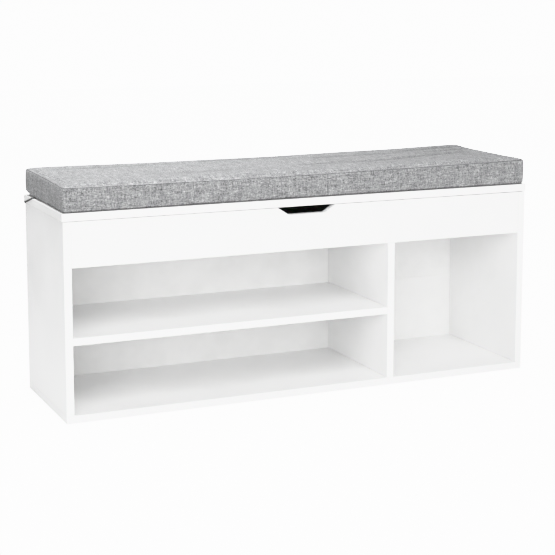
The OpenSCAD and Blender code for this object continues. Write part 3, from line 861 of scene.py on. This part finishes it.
def rim_lift(x, y, half):
    """How far the top stands above its flat height: high at the corners, slack along the front."""
    across, back = 0.5 + 0.5 * x / half.x, 0.5 + 0.5 * y / half.y
    (front_left, front_right), (rear_left, rear_right) = CORNER_LIFTS
    front = front_left + (front_right - front_left) * across
    rear = rear_left + (rear_right - rear_left) * across ** 3
    slack = FRONT_SLACK + (REAR_SLACK - FRONT_SLACK) * back
    return front + (rear - front) * back - slack * (1 - (x / half.x) ** 2)


def settle(point, half, way):
    """The given shape of the stuffed cover, from the cushion's centre: furrows, folds and slack."""
    x, y, z = point
    point.z += rim_lift(x, y, half) * (0.5 + 0.5 * min(1, z / half.z))
    inset = min(half.x - abs(x), half.y - abs(y))
    if z > 0 and inset > 0:
        lump, length, width = LUMPS
        lump *= noise.noise(Vector((x / length, y / width, 3.1)))
        point.z -= min(1, inset / FURROW_FADE) * (furrow_depth(x, y) - lump)
    height = z / half.z
    if way is not None:
        crease, length, width = CREASES
        crease *= noise.noise(Vector((x / length, y / width, 0.6 * height)))
        point += way * crease * (1 - height ** 2)
        if way.x < -0.5:
            fold_y, fold, width = SIDE_FOLD
            gap = (y - fold_y) / width
            point -= way * fold * (1 - gap * gap) * math.exp(-gap * gap)
    if z < 0:
        lift, reach = LIFTED_CORNER
        corner = math.hypot(x + half.x, y - half.y) / reach
        point.z += lift * math.exp(-corner * corner) * (0.5 - 0.5 * height)
    return point


def seam_mark(place, half, seam_x):
    """1 on the two rims, less on the boxing's upright seam, 0 elsewhere."""
    x, y, z = place
    on_rim = abs(abs(z) - half.z) < TOUCHING and (
        abs(abs(x) - half.x) < TOUCHING or abs(abs(y) - half.y) < TOUCHING)
    on_joint = abs(x - seam_x) < TOUCHING and abs(y + half.y) < TOUCHING
    return 1.0 if on_rim else UPRIGHT_SEAM if on_joint else 0.0


def cloth_map(mesh, seat_centre):
    """A map in metres, one panel of cloth for each side."""
    layer = mesh.uv_layers.new(name="cloth")
    for polygon in mesh.polygons:
        normal = polygon.normal
        size = [abs(part) for part in normal]
        for loop in polygon.loop_indices:
            x, y, z = mesh.vertices[mesh.loops[loop].vertex_index].co - seat_centre
            if size[2] > max(size[0], size[1]):
                layer.data[loop].uv = (x, y)
            elif size[1] > size[0]:
                layer.data[loop].uv = (x + 3.1, z)
            else:
                layer.data[loop].uv = (y + 7.7, z)


def shape_cover(places, points, half, settings):
    """The stuffed cover's points after the swollen boxing and the given shape."""
    shaped = []
    for place, point in zip(places, points):
        inset, _, way = outline_place(place[0], place[1], half.x, half.y, settings.corner_radius)
        on_boxing = inset < ON_OUTLINE and abs(place[2]) < half.z - TOUCHING
        moved = Vector(point)
        if on_boxing:
            moved += way * settings.side_swell * (1 - (place[2] / half.z) ** 2)
        shaped.append(settle(moved, half, way if on_boxing else None))
    return shaped


def sink_seams(mesh, places, half, settings):
    """Draws the seams in, and marks them and the furrows for the linen's painted shade."""
    for label in ("seam", "crease"):
        mesh.attributes.new(label, "FLOAT", "POINT")
    sewn, creased = (mesh.attributes[label] for label in ("seam", "crease"))
    normals = [vert.normal.copy() for vert in mesh.vertices]
    length, share = PUCKERS
    for i, place in enumerate(places):
        # The seam mark sinks the seams and sets the painted shade in them; the crease mark sets the
        # painted shade in the furrows
        mark = seam_mark(place, half, BOXING_SEAM_X)
        sewn.data[i].value = mark
        if place[2] > half.z - TOUCHING:
            creased.data[i].value = min(1, max(0, furrow_depth(place[0], place[1]) / DEEP_FURROW))
        pucker = 1 + share * noise.noise(Vector(place) / length)
        mesh.vertices[i].co -= normals[i] * settings.seam_depth * pucker * mark
    for vert in mesh.vertices:
        vert.co.z = max(vert.co.z, SEAT_LOW.z)


def make_cushion(settings, material):
    """The stuffed cover, with its seams, as one closed piece."""
    centre = (SEAT_LOW + SEAT_HIGH) / 2
    half = (SEAT_HIGH - SEAT_LOW) / 2
    places, quads = box_skin(marks(-half.x, half.x, GRID_PITCH[0], BOXING_SEAM_X),
                             marks(-half.y, half.y, GRID_PITCH[1]),
                             marks(-half.z, half.z, GRID_PITCH[2]))
    start = np.array([cushion_shape(place, half, settings.corner_radius, settings.rim_radius,
                                    settings.side_pull) for place in places])
    mesh = bpy.data.meshes.new("seat_cushion")
    mesh.from_pydata([Vector(point) + centre for point in start], [], quads)
    mesh.materials.append(material)
    piece = add_object("seat_cushion", mesh)
    rest = piece.vertex_groups.new(name="rest")
    rest.add([i for i, place in enumerate(places) if place[2] < -half.z + TOUCHING], 1.0, "REPLACE")
    offset = np.array(centre)
    room = np.array([stuffing_room(place, half, settings) for place in places])
    points = stuff(piece, settings, start + offset, room)
    shaped = shape_cover(places, points - offset, half, settings)
    mesh.vertices.foreach_set("co", [part for point in shaped for part in point + centre])
    mesh.update()
    sink_seams(mesh, places, half, settings)
    piece.vertex_groups.clear()
    smooth = piece.modifiers.new("smooth", "SUBSURF")
    smooth.levels = smooth.render_levels = 1
    final = bpy.data.meshes.new_from_object(piece.evaluated_get(bpy.context.evaluated_depsgraph_get()))
    piece.modifiers.clear()
    piece.data = final
    final.name = "seat_cushion"
    cloth_map(final, centre)
    final.polygons.foreach_set("use_smooth", [True] * len(final.polygons))
    return piece


def seam_path(cushion, settings):
    """The cushion's seams as bare edges, a thread's radius above the cover."""
    mesh = cushion.data
    sewn = [item.value > 0.99 for item in mesh.attributes["seam"].data]
    used, points, edges = {}, [], []
    for edge in mesh.edges:
        if not all(sewn[i] for i in edge.vertices):
            continue
        for i in edge.vertices:
            if i not in used:
                used[i] = len(points)
                points.append(mesh.vertices[i].co + mesh.vertices[i].normal * settings.thread_radius)
        edges.append([used[i] for i in edge.vertices])
    path = bpy.data.meshes.new("seam_path")
    path.from_pydata(points, edges, [])
    return add_object("seam_path", path)


# ---------------------------------------------------------------- operators

# The floor's half size, and how bright the sky and the floor's own glow look to the camera.
# Neither of these two lights anything.
FLOOR_HALF = 9.0
SKY_GLOW = 3.5
FLOOR_GLOW = 2.8
SENSOR_WIDTH = 36.0


class BENCH_OT_stage(bpy.types.Operator):
    """Pale floor, soft light and the camera"""
    bl_idname = "bench.stage"
    bl_label = "Stage"

    def execute(self, context):
        settings = context.scene.bench_stage
        self.floor()
        self.lights(context, settings)
        self.camera(context, settings)
        return {"FINISHED"}

    def floor(self):
        bm = bmesh.new()
        bmesh.ops.create_grid(bm, x_segments=6, y_segments=6, size=FLOOR_HALF)
        material = pressed_material("studio_floor", (0.9, 0.9, 0.9), 0.7, 4 * MM, 0.02 * MM,
                                    spread=0.005, Emission_Color=(1, 1, 1, 1))
        tree = material.node_tree
        seen = put(tree, "ShaderNodeLightPath").outputs["Is Camera Ray"]
        glow = tree.nodes["Principled BSDF"].inputs["Emission Strength"]
        tree.links.new(maths(tree, "MULTIPLY", seen, FLOOR_GLOW), glow)
        new_piece("studio_floor", bm, material)

    def lights(self, context, settings):
        world = bpy.data.worlds.new("studio")
        world.use_nodes = True
        tree = world.node_tree
        sky = tree.nodes["Background"]
        sky.inputs["Color"].default_value = (1, 1, 1, 1)
        seen = put(tree, "ShaderNodeLightPath").outputs["Is Camera Ray"]
        tree.links.new(blend_value(tree, seen, settings.daylight, SKY_GLOW), sky.inputs["Strength"])
        context.scene.world = world
        context.scene.view_settings.view_transform = "Khronos PBR Neutral"
        middle = (BENCH_LOW + BENCH_HIGH) / 2
        # Name, place, width and power of each light
        lights = (
            ("over_light", (-0.5, 0.15, 1.45), 0.5, settings.over_power),
            ("high_light", (0.0, -2.2, 2.6), 1.6, settings.high_power),
            ("front_light", (0.0, -3.5, 1.2), 2.0, settings.front_power),
            ("left_light", (-2.2, -2.8, 1.2), 1.8, settings.left_power),
        )
        for name, place, size, power in lights:
            self.area(name, Vector(place), middle, size, power)

    def area(self, name, place, target, size, power):
        light = bpy.data.lights.new(name, "AREA")
        light.shape, light.size, light.energy = "SQUARE", size, power
        lamp = add_object(name, light)
        lamp.location = place
        lamp.rotation_euler = (target - place).to_track_quat("-Z", "Y").to_euler()

    def camera(self, context, settings):
        data = bpy.data.cameras.new("camera")
        data.lens, data.sensor_width = settings.lens, SENSOR_WIDTH
        data.shift_y = settings.raise_view
        camera = add_object("camera", data)
        camera.location = settings.camera_place
        camera.rotation_euler = (math.pi / 2 - settings.camera_down, 0, -settings.camera_round)
        context.scene.camera = camera


class BENCH_OT_boards(bpy.types.Operator):
    """Melamine boards with softened edges"""
    bl_idname = "bench.boards"
    bl_label = "Boards"

    def execute(self, context):
        settings = context.scene.bench_boards
        melamine = pressed_material(
            "white_melamine", tuple(settings.colour), 0.42, settings.peel_size, 0.02 * MM)
        for node, name in BOARDS.items():
            board = softened_board(node, name, melamine, settings.edge_radius)
            finish_piece(board, frame["nodes"][node]["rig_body"], "white_board", node)
        return {"FINISHED"}


class BENCH_OT_back(bpy.types.Operator):
    """Thin back sheets, their jointing strip and the nails"""
    bl_idname = "bench.back"
    bl_label = "Back"

    def execute(self, context):
        settings = context.scene.bench_boards
        foil = pressed_material(
            "foiled_fibreboard", tuple(settings.back_colour), 0.55, 0.7 * MM, 0.03 * MM,
            cloud=40 * MM, spread=0.02)
        for node, name in BACK_SHEETS.items():
            sheet = softened_board(node, name, foil, 0.3 * MM, shortest=20 * MM)
            finish_piece(sheet, "frame", "back_sheet", node)
        plastic = pressed_material("strip_plastic", tuple(settings.back_colour), 0.4, 2 * MM, 0.01 * MM)
        dress("back_jointing_strip", plastic)
        self.nails(context.scene.bench_hardware)
        return {"FINISHED"}

    def nails(self, settings):
        """Domed nails, one on each nail of the frame."""
        boxes = solids("back_nails")
        low, high = boxes[0]
        head = (high.x - low.x) / 2
        length = high.y - low.y
        shank = 0.44 * head
        steel = metal_material("nail_steel", tuple(settings.steel), 0.28, 0.3 * MM, 3 * MM, 0.01 * MM)
        bm = bmesh.new()
        lathe(bm, ((0, 0), (0.6 * head, 0.06 * head), (0.92 * head, 0.2 * head), (head, 0.34 * head),
                   (shank, 0.36 * head), (shank, length - 1.4 * shank), (0, length)), 10)
        bmesh.ops.recalc_face_normals(bm, faces=bm.faces)
        shape = new_piece("nail", bm, steel)
        places = [(Vector(((low.x + high.x) / 2, high.y, (low.z + high.z) / 2)), (math.pi / 2, 0, 0))
                  for low, high in boxes]
        nails = repeat_shape("back_nail_set", shape, places, steel)
        finish_piece(nails, "frame", "fastener_steel", "back_nails")


class BENCH_OT_fasteners(bpy.types.Operator):
    """Screws, cam locks, cam bolts and dowels"""
    bl_idname = "bench.fasteners"
    bl_label = "Fasteners"

    def execute(self, context):
        settings = context.scene.bench_hardware
        steel = metal_material("screw_steel", tuple(settings.steel), 0.26, 0.3 * MM, 4 * MM, 0.01 * MM)
        zinc = metal_material("cast_zinc", tuple(settings.zinc), 0.42, 1.2 * MM, 2 * MM, 0.03 * MM)
        dress("cam_bolts", steel)
        dress("cam_locks", zinc)
        dress("wood_dowels", beech_material())
        for node, (name, direction) in SCREW_SETS.items():
            self.screws(settings, node, name, direction, steel)
        return {"FINISHED"}

    def screws(self, settings, node, name, direction, steel):
        """A set of cross-head screws on the frame's own. direction is 1 where they point up."""
        boxes = solids(node)
        low, high = boxes[0]
        shape = cross_head_screw((high.x - low.x) / 2, high.z - low.z, settings.thread_turn, steel)
        places = []
        for low, high in boxes:
            head_z = low.z if direction > 0 else high.z
            turn = 0 if direction > 0 else math.pi
            places.append((Vector(((low.x + high.x) / 2, (low.y + high.y) / 2, head_z)), (turn, 0, 0)))
        piece = repeat_shape(name, shape, places, steel)
        finish_piece(piece, frame["nodes"][node]["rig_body"], "fastener_steel", node)


# The recess's reach from the middle of an arm to the valley between two arms, in head radii
CROSS_REACH = (0.62, 0.45, 0.18)


def cross_head_screw(head, length, turn, material):
    """A countersunk screw along +Z from its head, with a cross recess and ridges for its thread."""
    shank = 0.56 * head
    sides = 16
    recess = 0.3 * length if length < 15 * MM else 3 * MM
    recess = min(recess, 0.55 * head)
    bm = bmesh.new()
    cross = []
    arms = sides // 4
    for i in range(sides):
        angle = math.tau * i / sides
        reach = CROSS_REACH[min(i % arms, arms - i % arms)] * head
        cross.append((reach * math.cos(angle), reach * math.sin(angle)))
    floor = [bm.verts.new((0.55 * x, 0.55 * y, recess)) for x, y in cross]
    lip = [bm.verts.new((x, y, 0.02 * head)) for x, y in cross]
    bm.faces.new(floor)
    profile = [(head, 0.0), (head, 0.1 * head), (shank, 0.75 * head)]
    height = 0.75 * head + turn / 2
    while height < length - 2.5 * shank:
        profile += [(0.78 * shank, height), (shank, height + 0.25 * turn),
                    (0.78 * shank, height + 0.5 * turn)]
        height += turn
    profile += [(0.7 * shank, length - 1.8 * shank), (0, length)]
    rings = lathe(bm, profile, sides)
    for low, high in ((floor, lip), (lip, rings[0])):
        for i in range(sides):
            j = (i + 1) % sides
            bm.faces.new((low[i], low[j], high[j], high[i]))
    bmesh.ops.recalc_face_normals(bm, faces=bm.faces)
    return new_piece("screw", bm, material)


class BENCH_OT_hinges(bpy.types.Operator):
    """Plated steel butt hinges"""
    bl_idname = "bench.hinges"
    bl_label = "Hinges"

    def execute(self, context):
        colour = tuple(context.scene.bench_hardware.steel)
        plate = metal_material("hinge_plate", colour, 0.24, 0.35 * MM, 6 * MM, 0.01 * MM)
        pin = metal_material("hinge_pin", shade(colour, 0.9), 0.18, 0.2 * MM, 3 * MM, 0.005 * MM)
        for place in HINGES:
            dress(place + "_hinge_frame_leaf", plate)
            dress(place + "_hinge_lid_leaf", plate)
            dress(place + "_hinge_pin", pin)
        return {"FINISHED"}


class BENCH_OT_small_parts(bpy.types.Operator):
    """Floor glides and lid bumpers"""
    bl_idname = "bench.small_parts"
    bl_label = "Glides and bumpers"

    def execute(self, context):
        nylon = pressed_material("glide_nylon", (0.72, 0.72, 0.7), 0.45, 0.9 * MM, 0.03 * MM,
                                 cloud=9 * MM)
        rubber = pressed_material("bumper_silicone", (0.8, 0.82, 0.82), 0.25, 1.5 * MM, 0.01 * MM,
                                  cloud=5 * MM, Subsurface_Weight=0.3, Subsurface_Scale=2 * MM)
        dress("floor_glides", nylon)
        dress("lid_bumpers", rubber)
        return {"FINISHED"}


class BENCH_OT_cushion(bpy.types.Operator):
    """Stuffed linen box cushion with its seams"""
    bl_idname = "bench.cushion"
    bl_label = "Cushion"

    def execute(self, context):
        settings = context.scene.bench_cushion
        linen = linen_material(settings)
        cushion = make_cushion(settings, linen)
        thread = ribbed_thread_material(settings)
        stitches = run_tree(
            seam_path(cushion, settings), "seam_stitches", stitch_tree(thread),
            {"Stitch length": settings.stitch_length, "Gap": settings.stitch_gap,
             "Thread radius": settings.thread_radius})
        finish_piece(cushion, "lid", "linen", "cushion_cover", "cushion_underside", "cushion_foam")
        finish_piece(stitches, "lid", "linen")
        return {"FINISHED"}


def ribbed_thread_material(settings):
    """Twisted sewing thread, a little darker than the cloth."""
    material, tree, principled, place = new_material("sewing_thread", Roughness=0.75, Sheen_Weight=0.2)
    twist = put(tree, "ShaderNodeTexNoise", {"Vector": place, "Scale": 1.0 / (0.5 * MM), "Detail": 1.0})
    colour = tuple(settings.thread_middle)
    tone = ramp(tree, twist.outputs["Fac"], (0.3, shade(colour, 0.2)), (0.7, shade(colour, 0.55)))
    tree.links.new(tone, principled.inputs["Base Color"])
    bump(tree, principled, twist.outputs["Fac"], 0.1 * MM)
    return material


# How far the zip's teeth and slider stand out from the boxing, and how far its tapes are let in
TOOTH_PROUD = 0.55 * MM
SLIDER_PROUD = 1.5 * MM
TAPE_SUNK = 0.2 * MM
TAPE_COLUMNS = 90


class BENCH_OT_zip(bpy.types.Operator):
    """Zip along the rear of the boxing"""
    bl_idname = "bench.zip"
    bl_label = "Zip"

    def execute(self, context):
        settings = context.scene.bench_zip
        cover = bpy.data.objects["seat_cushion"]
        surface = BVHTree.FromObject(cover, context.evaluated_depsgraph_get())
        tape_material = ribbed_material("zip_tape", tuple(settings.tape_colour), 0.5 * MM, 0.1 * MM)
        tape = self.tape(surface, tape_material)
        finish_piece(tape, "lid", "zip", "cushion_zip")
        plastic = pressed_material("zip_teeth", shade(settings.tape_colour, 1.4), 0.35, 0.5 * MM,
                                   0.01 * MM, cloud=20 * MM)
        teeth = self.teeth(surface, settings, plastic)
        finish_piece(teeth, "lid", "zip")
        slider = self.slider(surface, context)
        finish_piece(slider, "lid", "zip")
        return {"FINISHED"}

    def behind(self, surface, x, z, proud):
        """The point on the boxing's rear at x and z, stood proud by so much."""
        hit, normal, _, _ = surface.ray_cast(Vector((x, SEAT_HIGH.y + 0.1, z)), Vector((0, -1, 0)))
        if hit is None:
            raise RuntimeError("the cushion has no rear face behind the zip")
        return hit + Vector((0, 1, 0)) * proud

    def tape(self, surface, material):
        """Two thin tapes side by side, laid on the boxing."""
        thick, gap = 0.35 * MM, 0.25 * MM
        edges = ((ZIP_LOW.z, ZIP_MIDDLE - gap), (ZIP_MIDDLE + gap, ZIP_HIGH.z))
        bm = bmesh.new()
        layer = bm.loops.layers.uv.new("cloth")
        for low, high in edges:
            rows = []
            for i in range(TAPE_COLUMNS + 1):
                x = ZIP_LOW.x + (ZIP_HIGH.x - ZIP_LOW.x) * i / TAPE_COLUMNS
                rows.append([bm.verts.new(self.behind(surface, x, z, proud)) for z, proud in
                             ((low, -TAPE_SUNK), (high, -TAPE_SUNK), (high, thick), (low, thick))])
            bm.faces.new(rows[0])
            bm.faces.new(rows[-1][::-1])
            for first, second in zip(rows, rows[1:]):
                for k in range(4):
                    bm.faces.new((first[k], second[k], second[(k + 1) % 4], first[(k + 1) % 4]))
        bmesh.ops.recalc_face_normals(bm, faces=bm.faces)
        for face in bm.faces:
            for loop in face.loops:
                loop[layer].uv = (loop.vert.co.x, loop.vert.co.z)
        return new_piece("zip_tapes", bm, material)

    def teeth(self, surface, settings, material):
        """Interlocked teeth by turns from above and below."""
        width, pitch = settings.tooth_width, settings.tooth_pitch
        bm = bmesh.new()
        bmesh.ops.create_cube(bm, size=1.0)
        bmesh.ops.scale(bm, vec=(0.62 * pitch, 0.9 * MM, 0.66 * width), verts=bm.verts)
        bmesh.ops.bevel(bm, geom=list(bm.edges), offset=0.16 * pitch, segments=1, affect="EDGES")
        shape = new_piece("tooth", bm, material)
        count = int((ZIP_HIGH.x - ZIP_LOW.x - 4 * pitch) / pitch)
        places = []
        for i in range(count):
            x = ZIP_LOW.x + 2 * pitch + (i + 0.5) * pitch
            z = ZIP_MIDDLE + (0.17 if i % 2 else -0.17) * width
            places.append((self.behind(surface, x, z, TOOTH_PROUD), (0, 0, 0)))
        return repeat_shape("zip_teeth_row", shape, places, material)

    def slider(self, surface, context):
        """Slider body and pull tab at the zip's closed end."""
        steel = metal_material("slider_metal", shade(context.scene.bench_hardware.steel, 0.8), 0.3,
                               0.4 * MM, 2 * MM, 0.01 * MM)
        place = self.behind(surface, ZIP_HIGH.x - 12 * MM, ZIP_MIDDLE, SLIDER_PROUD)
        bm = bmesh.new()
        parts = (((0, 0, 0), (9, 2.4, 6.4), 0.8), ((-1, 1.5, 0), (5, 1.4, 1.6), 0.5),
                 ((5, 2.0, 0), (17, 0.9, 4.4), 0.4))
        for offset, size, radius in parts:
            before = set(bm.verts)
            bmesh.ops.create_cube(bm, size=1.0)
            verts = [vert for vert in bm.verts if vert not in before]
            bmesh.ops.scale(bm, vec=[part * MM for part in size], verts=verts)
            bmesh.ops.translate(bm, vec=place + Vector([part * MM for part in offset]), verts=verts)
            edges = list({edge for vert in verts for edge in vert.link_edges})
            bmesh.ops.bevel(bm, geom=edges, offset=radius * MM, segments=2, profile=0.5, affect="EDGES")
        return new_piece("zip_slider", bm, steel)


class BENCH_OT_corner_loops(bpy.types.Operator):
    """Elastic loops that hold the cushion at its rear corners"""
    bl_idname = "bench.corner_loops"
    bl_label = "Corner loops"

    def execute(self, context):
        material = ribbed_material("black_elastic", (0.02, 0.02, 0.021), 0.5 * MM, 0.12 * MM)
        for side, name in ((-1, "left"), (1, "right")):
            loop = self.loop(side, name + "_elastic", material)
            finish_piece(loop, "lid", "elastic", name + "_corner_loop")
        return {"FINISHED"}

    def loop(self, side, name, material):
        """Flattened elastic from under the cushion, round the lid's corner and back under the cushion."""
        thick, half = ELASTIC_THICKNESS, ELASTIC_WIDTH / 2
        end_x, rear_y, top, base = LID_LOW.x, LID_HIGH.y, LID_HIGH.z, LID_LOW.z
        far, near = ELASTIC_FAR, ELASTIC_NEAR
        tab = SEAT_LOW.x - end_x + ELASTIC_TAB
        up, down = Vector((0, 0, 1)), Vector((0, 0, -1))
        left, back = Vector((-1, 0, 0)), Vector((0, 1, 0))
        # Where the elastic bends, and the way out of the lid on the stretch that follows
        bends = (
            (Vector((end_x + tab, rear_y - far, top)), up),
            (Vector((end_x, rear_y - far, top)), left),
            (Vector((end_x, rear_y - near, base)), down),
            (Vector((end_x + near, rear_y, base)), back),
            (Vector((end_x + far, rear_y, top)), up),
            (Vector((end_x + far, rear_y - tab, top)), up),
        )
        stations = self.stations(bends)
        bm = bmesh.new()
        layer = bm.loops.layers.uv.new("cloth")
        sides, rows, runs, run = 10, [], [], 0.0
        for number, (place, outward) in enumerate(stations):
            before = stations[max(0, number - 1)][0]
            after = stations[min(len(stations) - 1, number + 1)][0]
            run += (place - before).length
            across = (after - before).cross(outward).normalized()
            ring = []
            for k in range(sides):
                turn = math.tau * k / sides
                point = place + across * half * math.cos(turn)
                point += outward * thick * 0.5 * (1.04 + math.sin(turn))
                ring.append(bm.verts.new((-side * point.x, point.y, point.z)))
            rows.append(ring)
            runs.append(run)
        places = {vert: (k * half / 3, run)
                  for run, row in zip(runs, rows) for k, vert in enumerate(row)}
        bm.faces.new(rows[0])
        bm.faces.new(rows[-1][::-1])
        for first, second in zip(rows, rows[1:]):
            for k in range(sides):
                m = (k + 1) % sides
                bm.faces.new((first[k], second[k], second[m], first[m])).smooth = True
        bmesh.ops.recalc_face_normals(bm, faces=bm.faces)
        for face in bm.faces:
            for corner in face.loops:
                corner[layer].uv = places[corner.vert]
        return new_piece(name, bm, material)

    def stations(self, bends):
        """Points along the elastic with their way out: straight runs and small round bends."""
        turn, spacing = 1.5 * MM, 6 * MM
        stations = [(bends[0][0], bends[0][1])]
        for (start, _), (end, outward), following in zip(bends, bends[1:], (*bends[2:], None)):
            run = end - start
            face = stations[-1][1]
            count = max(1, round(run.length / spacing))
            for step in range(1, count):
                stations.append((start + run * (step / count), face))
            if following is None:
                stations.append((end, face))
                continue
            way, onward = run.normalized(), (following[0] - end).normalized()
            middle = (face + outward).normalized()
            stations.append((end - way * turn, face))
            stations.append((end, middle))
            stations.append((end + onward * turn, outward))
        return stations


# ---------------------------------------------------------------- add-on

class BENCH_PT_panel(bpy.types.Panel):
    bl_idname = "BENCH_PT_panel"
    bl_label = "Entryway bench"
    bl_space_type = "VIEW_3D"
    bl_region_type = "UI"
    bl_category = "Bench"

    def draw(self, context):
        for name in SETTINGS:
            box = self.layout.box()
            settings = getattr(context.scene, name)
            for prop in settings.bl_rna.properties:
                if prop.identifier not in ("name", "rna_type"):
                    box.prop(settings, prop.identifier)
        for operator in OPERATORS:
            self.layout.operator(operator.bl_idname)


SETTINGS = {
    "bench_boards": BenchBoardSettings,
    "bench_cushion": BenchCushionSettings,
    "bench_zip": BenchZipSettings,
    "bench_hardware": BenchHardwareSettings,
    "bench_stage": BenchStageSettings,
}
OPERATORS = (
    BENCH_OT_stage, BENCH_OT_boards, BENCH_OT_back, BENCH_OT_fasteners, BENCH_OT_hinges,
    BENCH_OT_small_parts, BENCH_OT_cushion, BENCH_OT_zip, BENCH_OT_corner_loops,
)


def register():
    for cls in (*SETTINGS.values(), *OPERATORS, BENCH_PT_panel):
        bpy.utils.register_class(cls)
    for name, cls in SETTINGS.items():
        setattr(bpy.types.Scene, name, PointerProperty(type=cls))


def unregister():
    for name in SETTINGS:
        delattr(bpy.types.Scene, name)
    for cls in (BENCH_PT_panel, *reversed(OPERATORS), *reversed(SETTINGS.values())):
        bpy.utils.unregister_class(cls)


def main():
    register()
    bpy.ops.bench.stage()
    bpy.ops.bench.boards()
    bpy.ops.bench.back()
    bpy.ops.bench.fasteners()
    bpy.ops.bench.hinges()
    bpy.ops.bench.small_parts()
    bpy.ops.bench.cushion()
    bpy.ops.bench.zip()
    bpy.ops.bench.corner_loops()


if __name__ == "__main__":
    main()
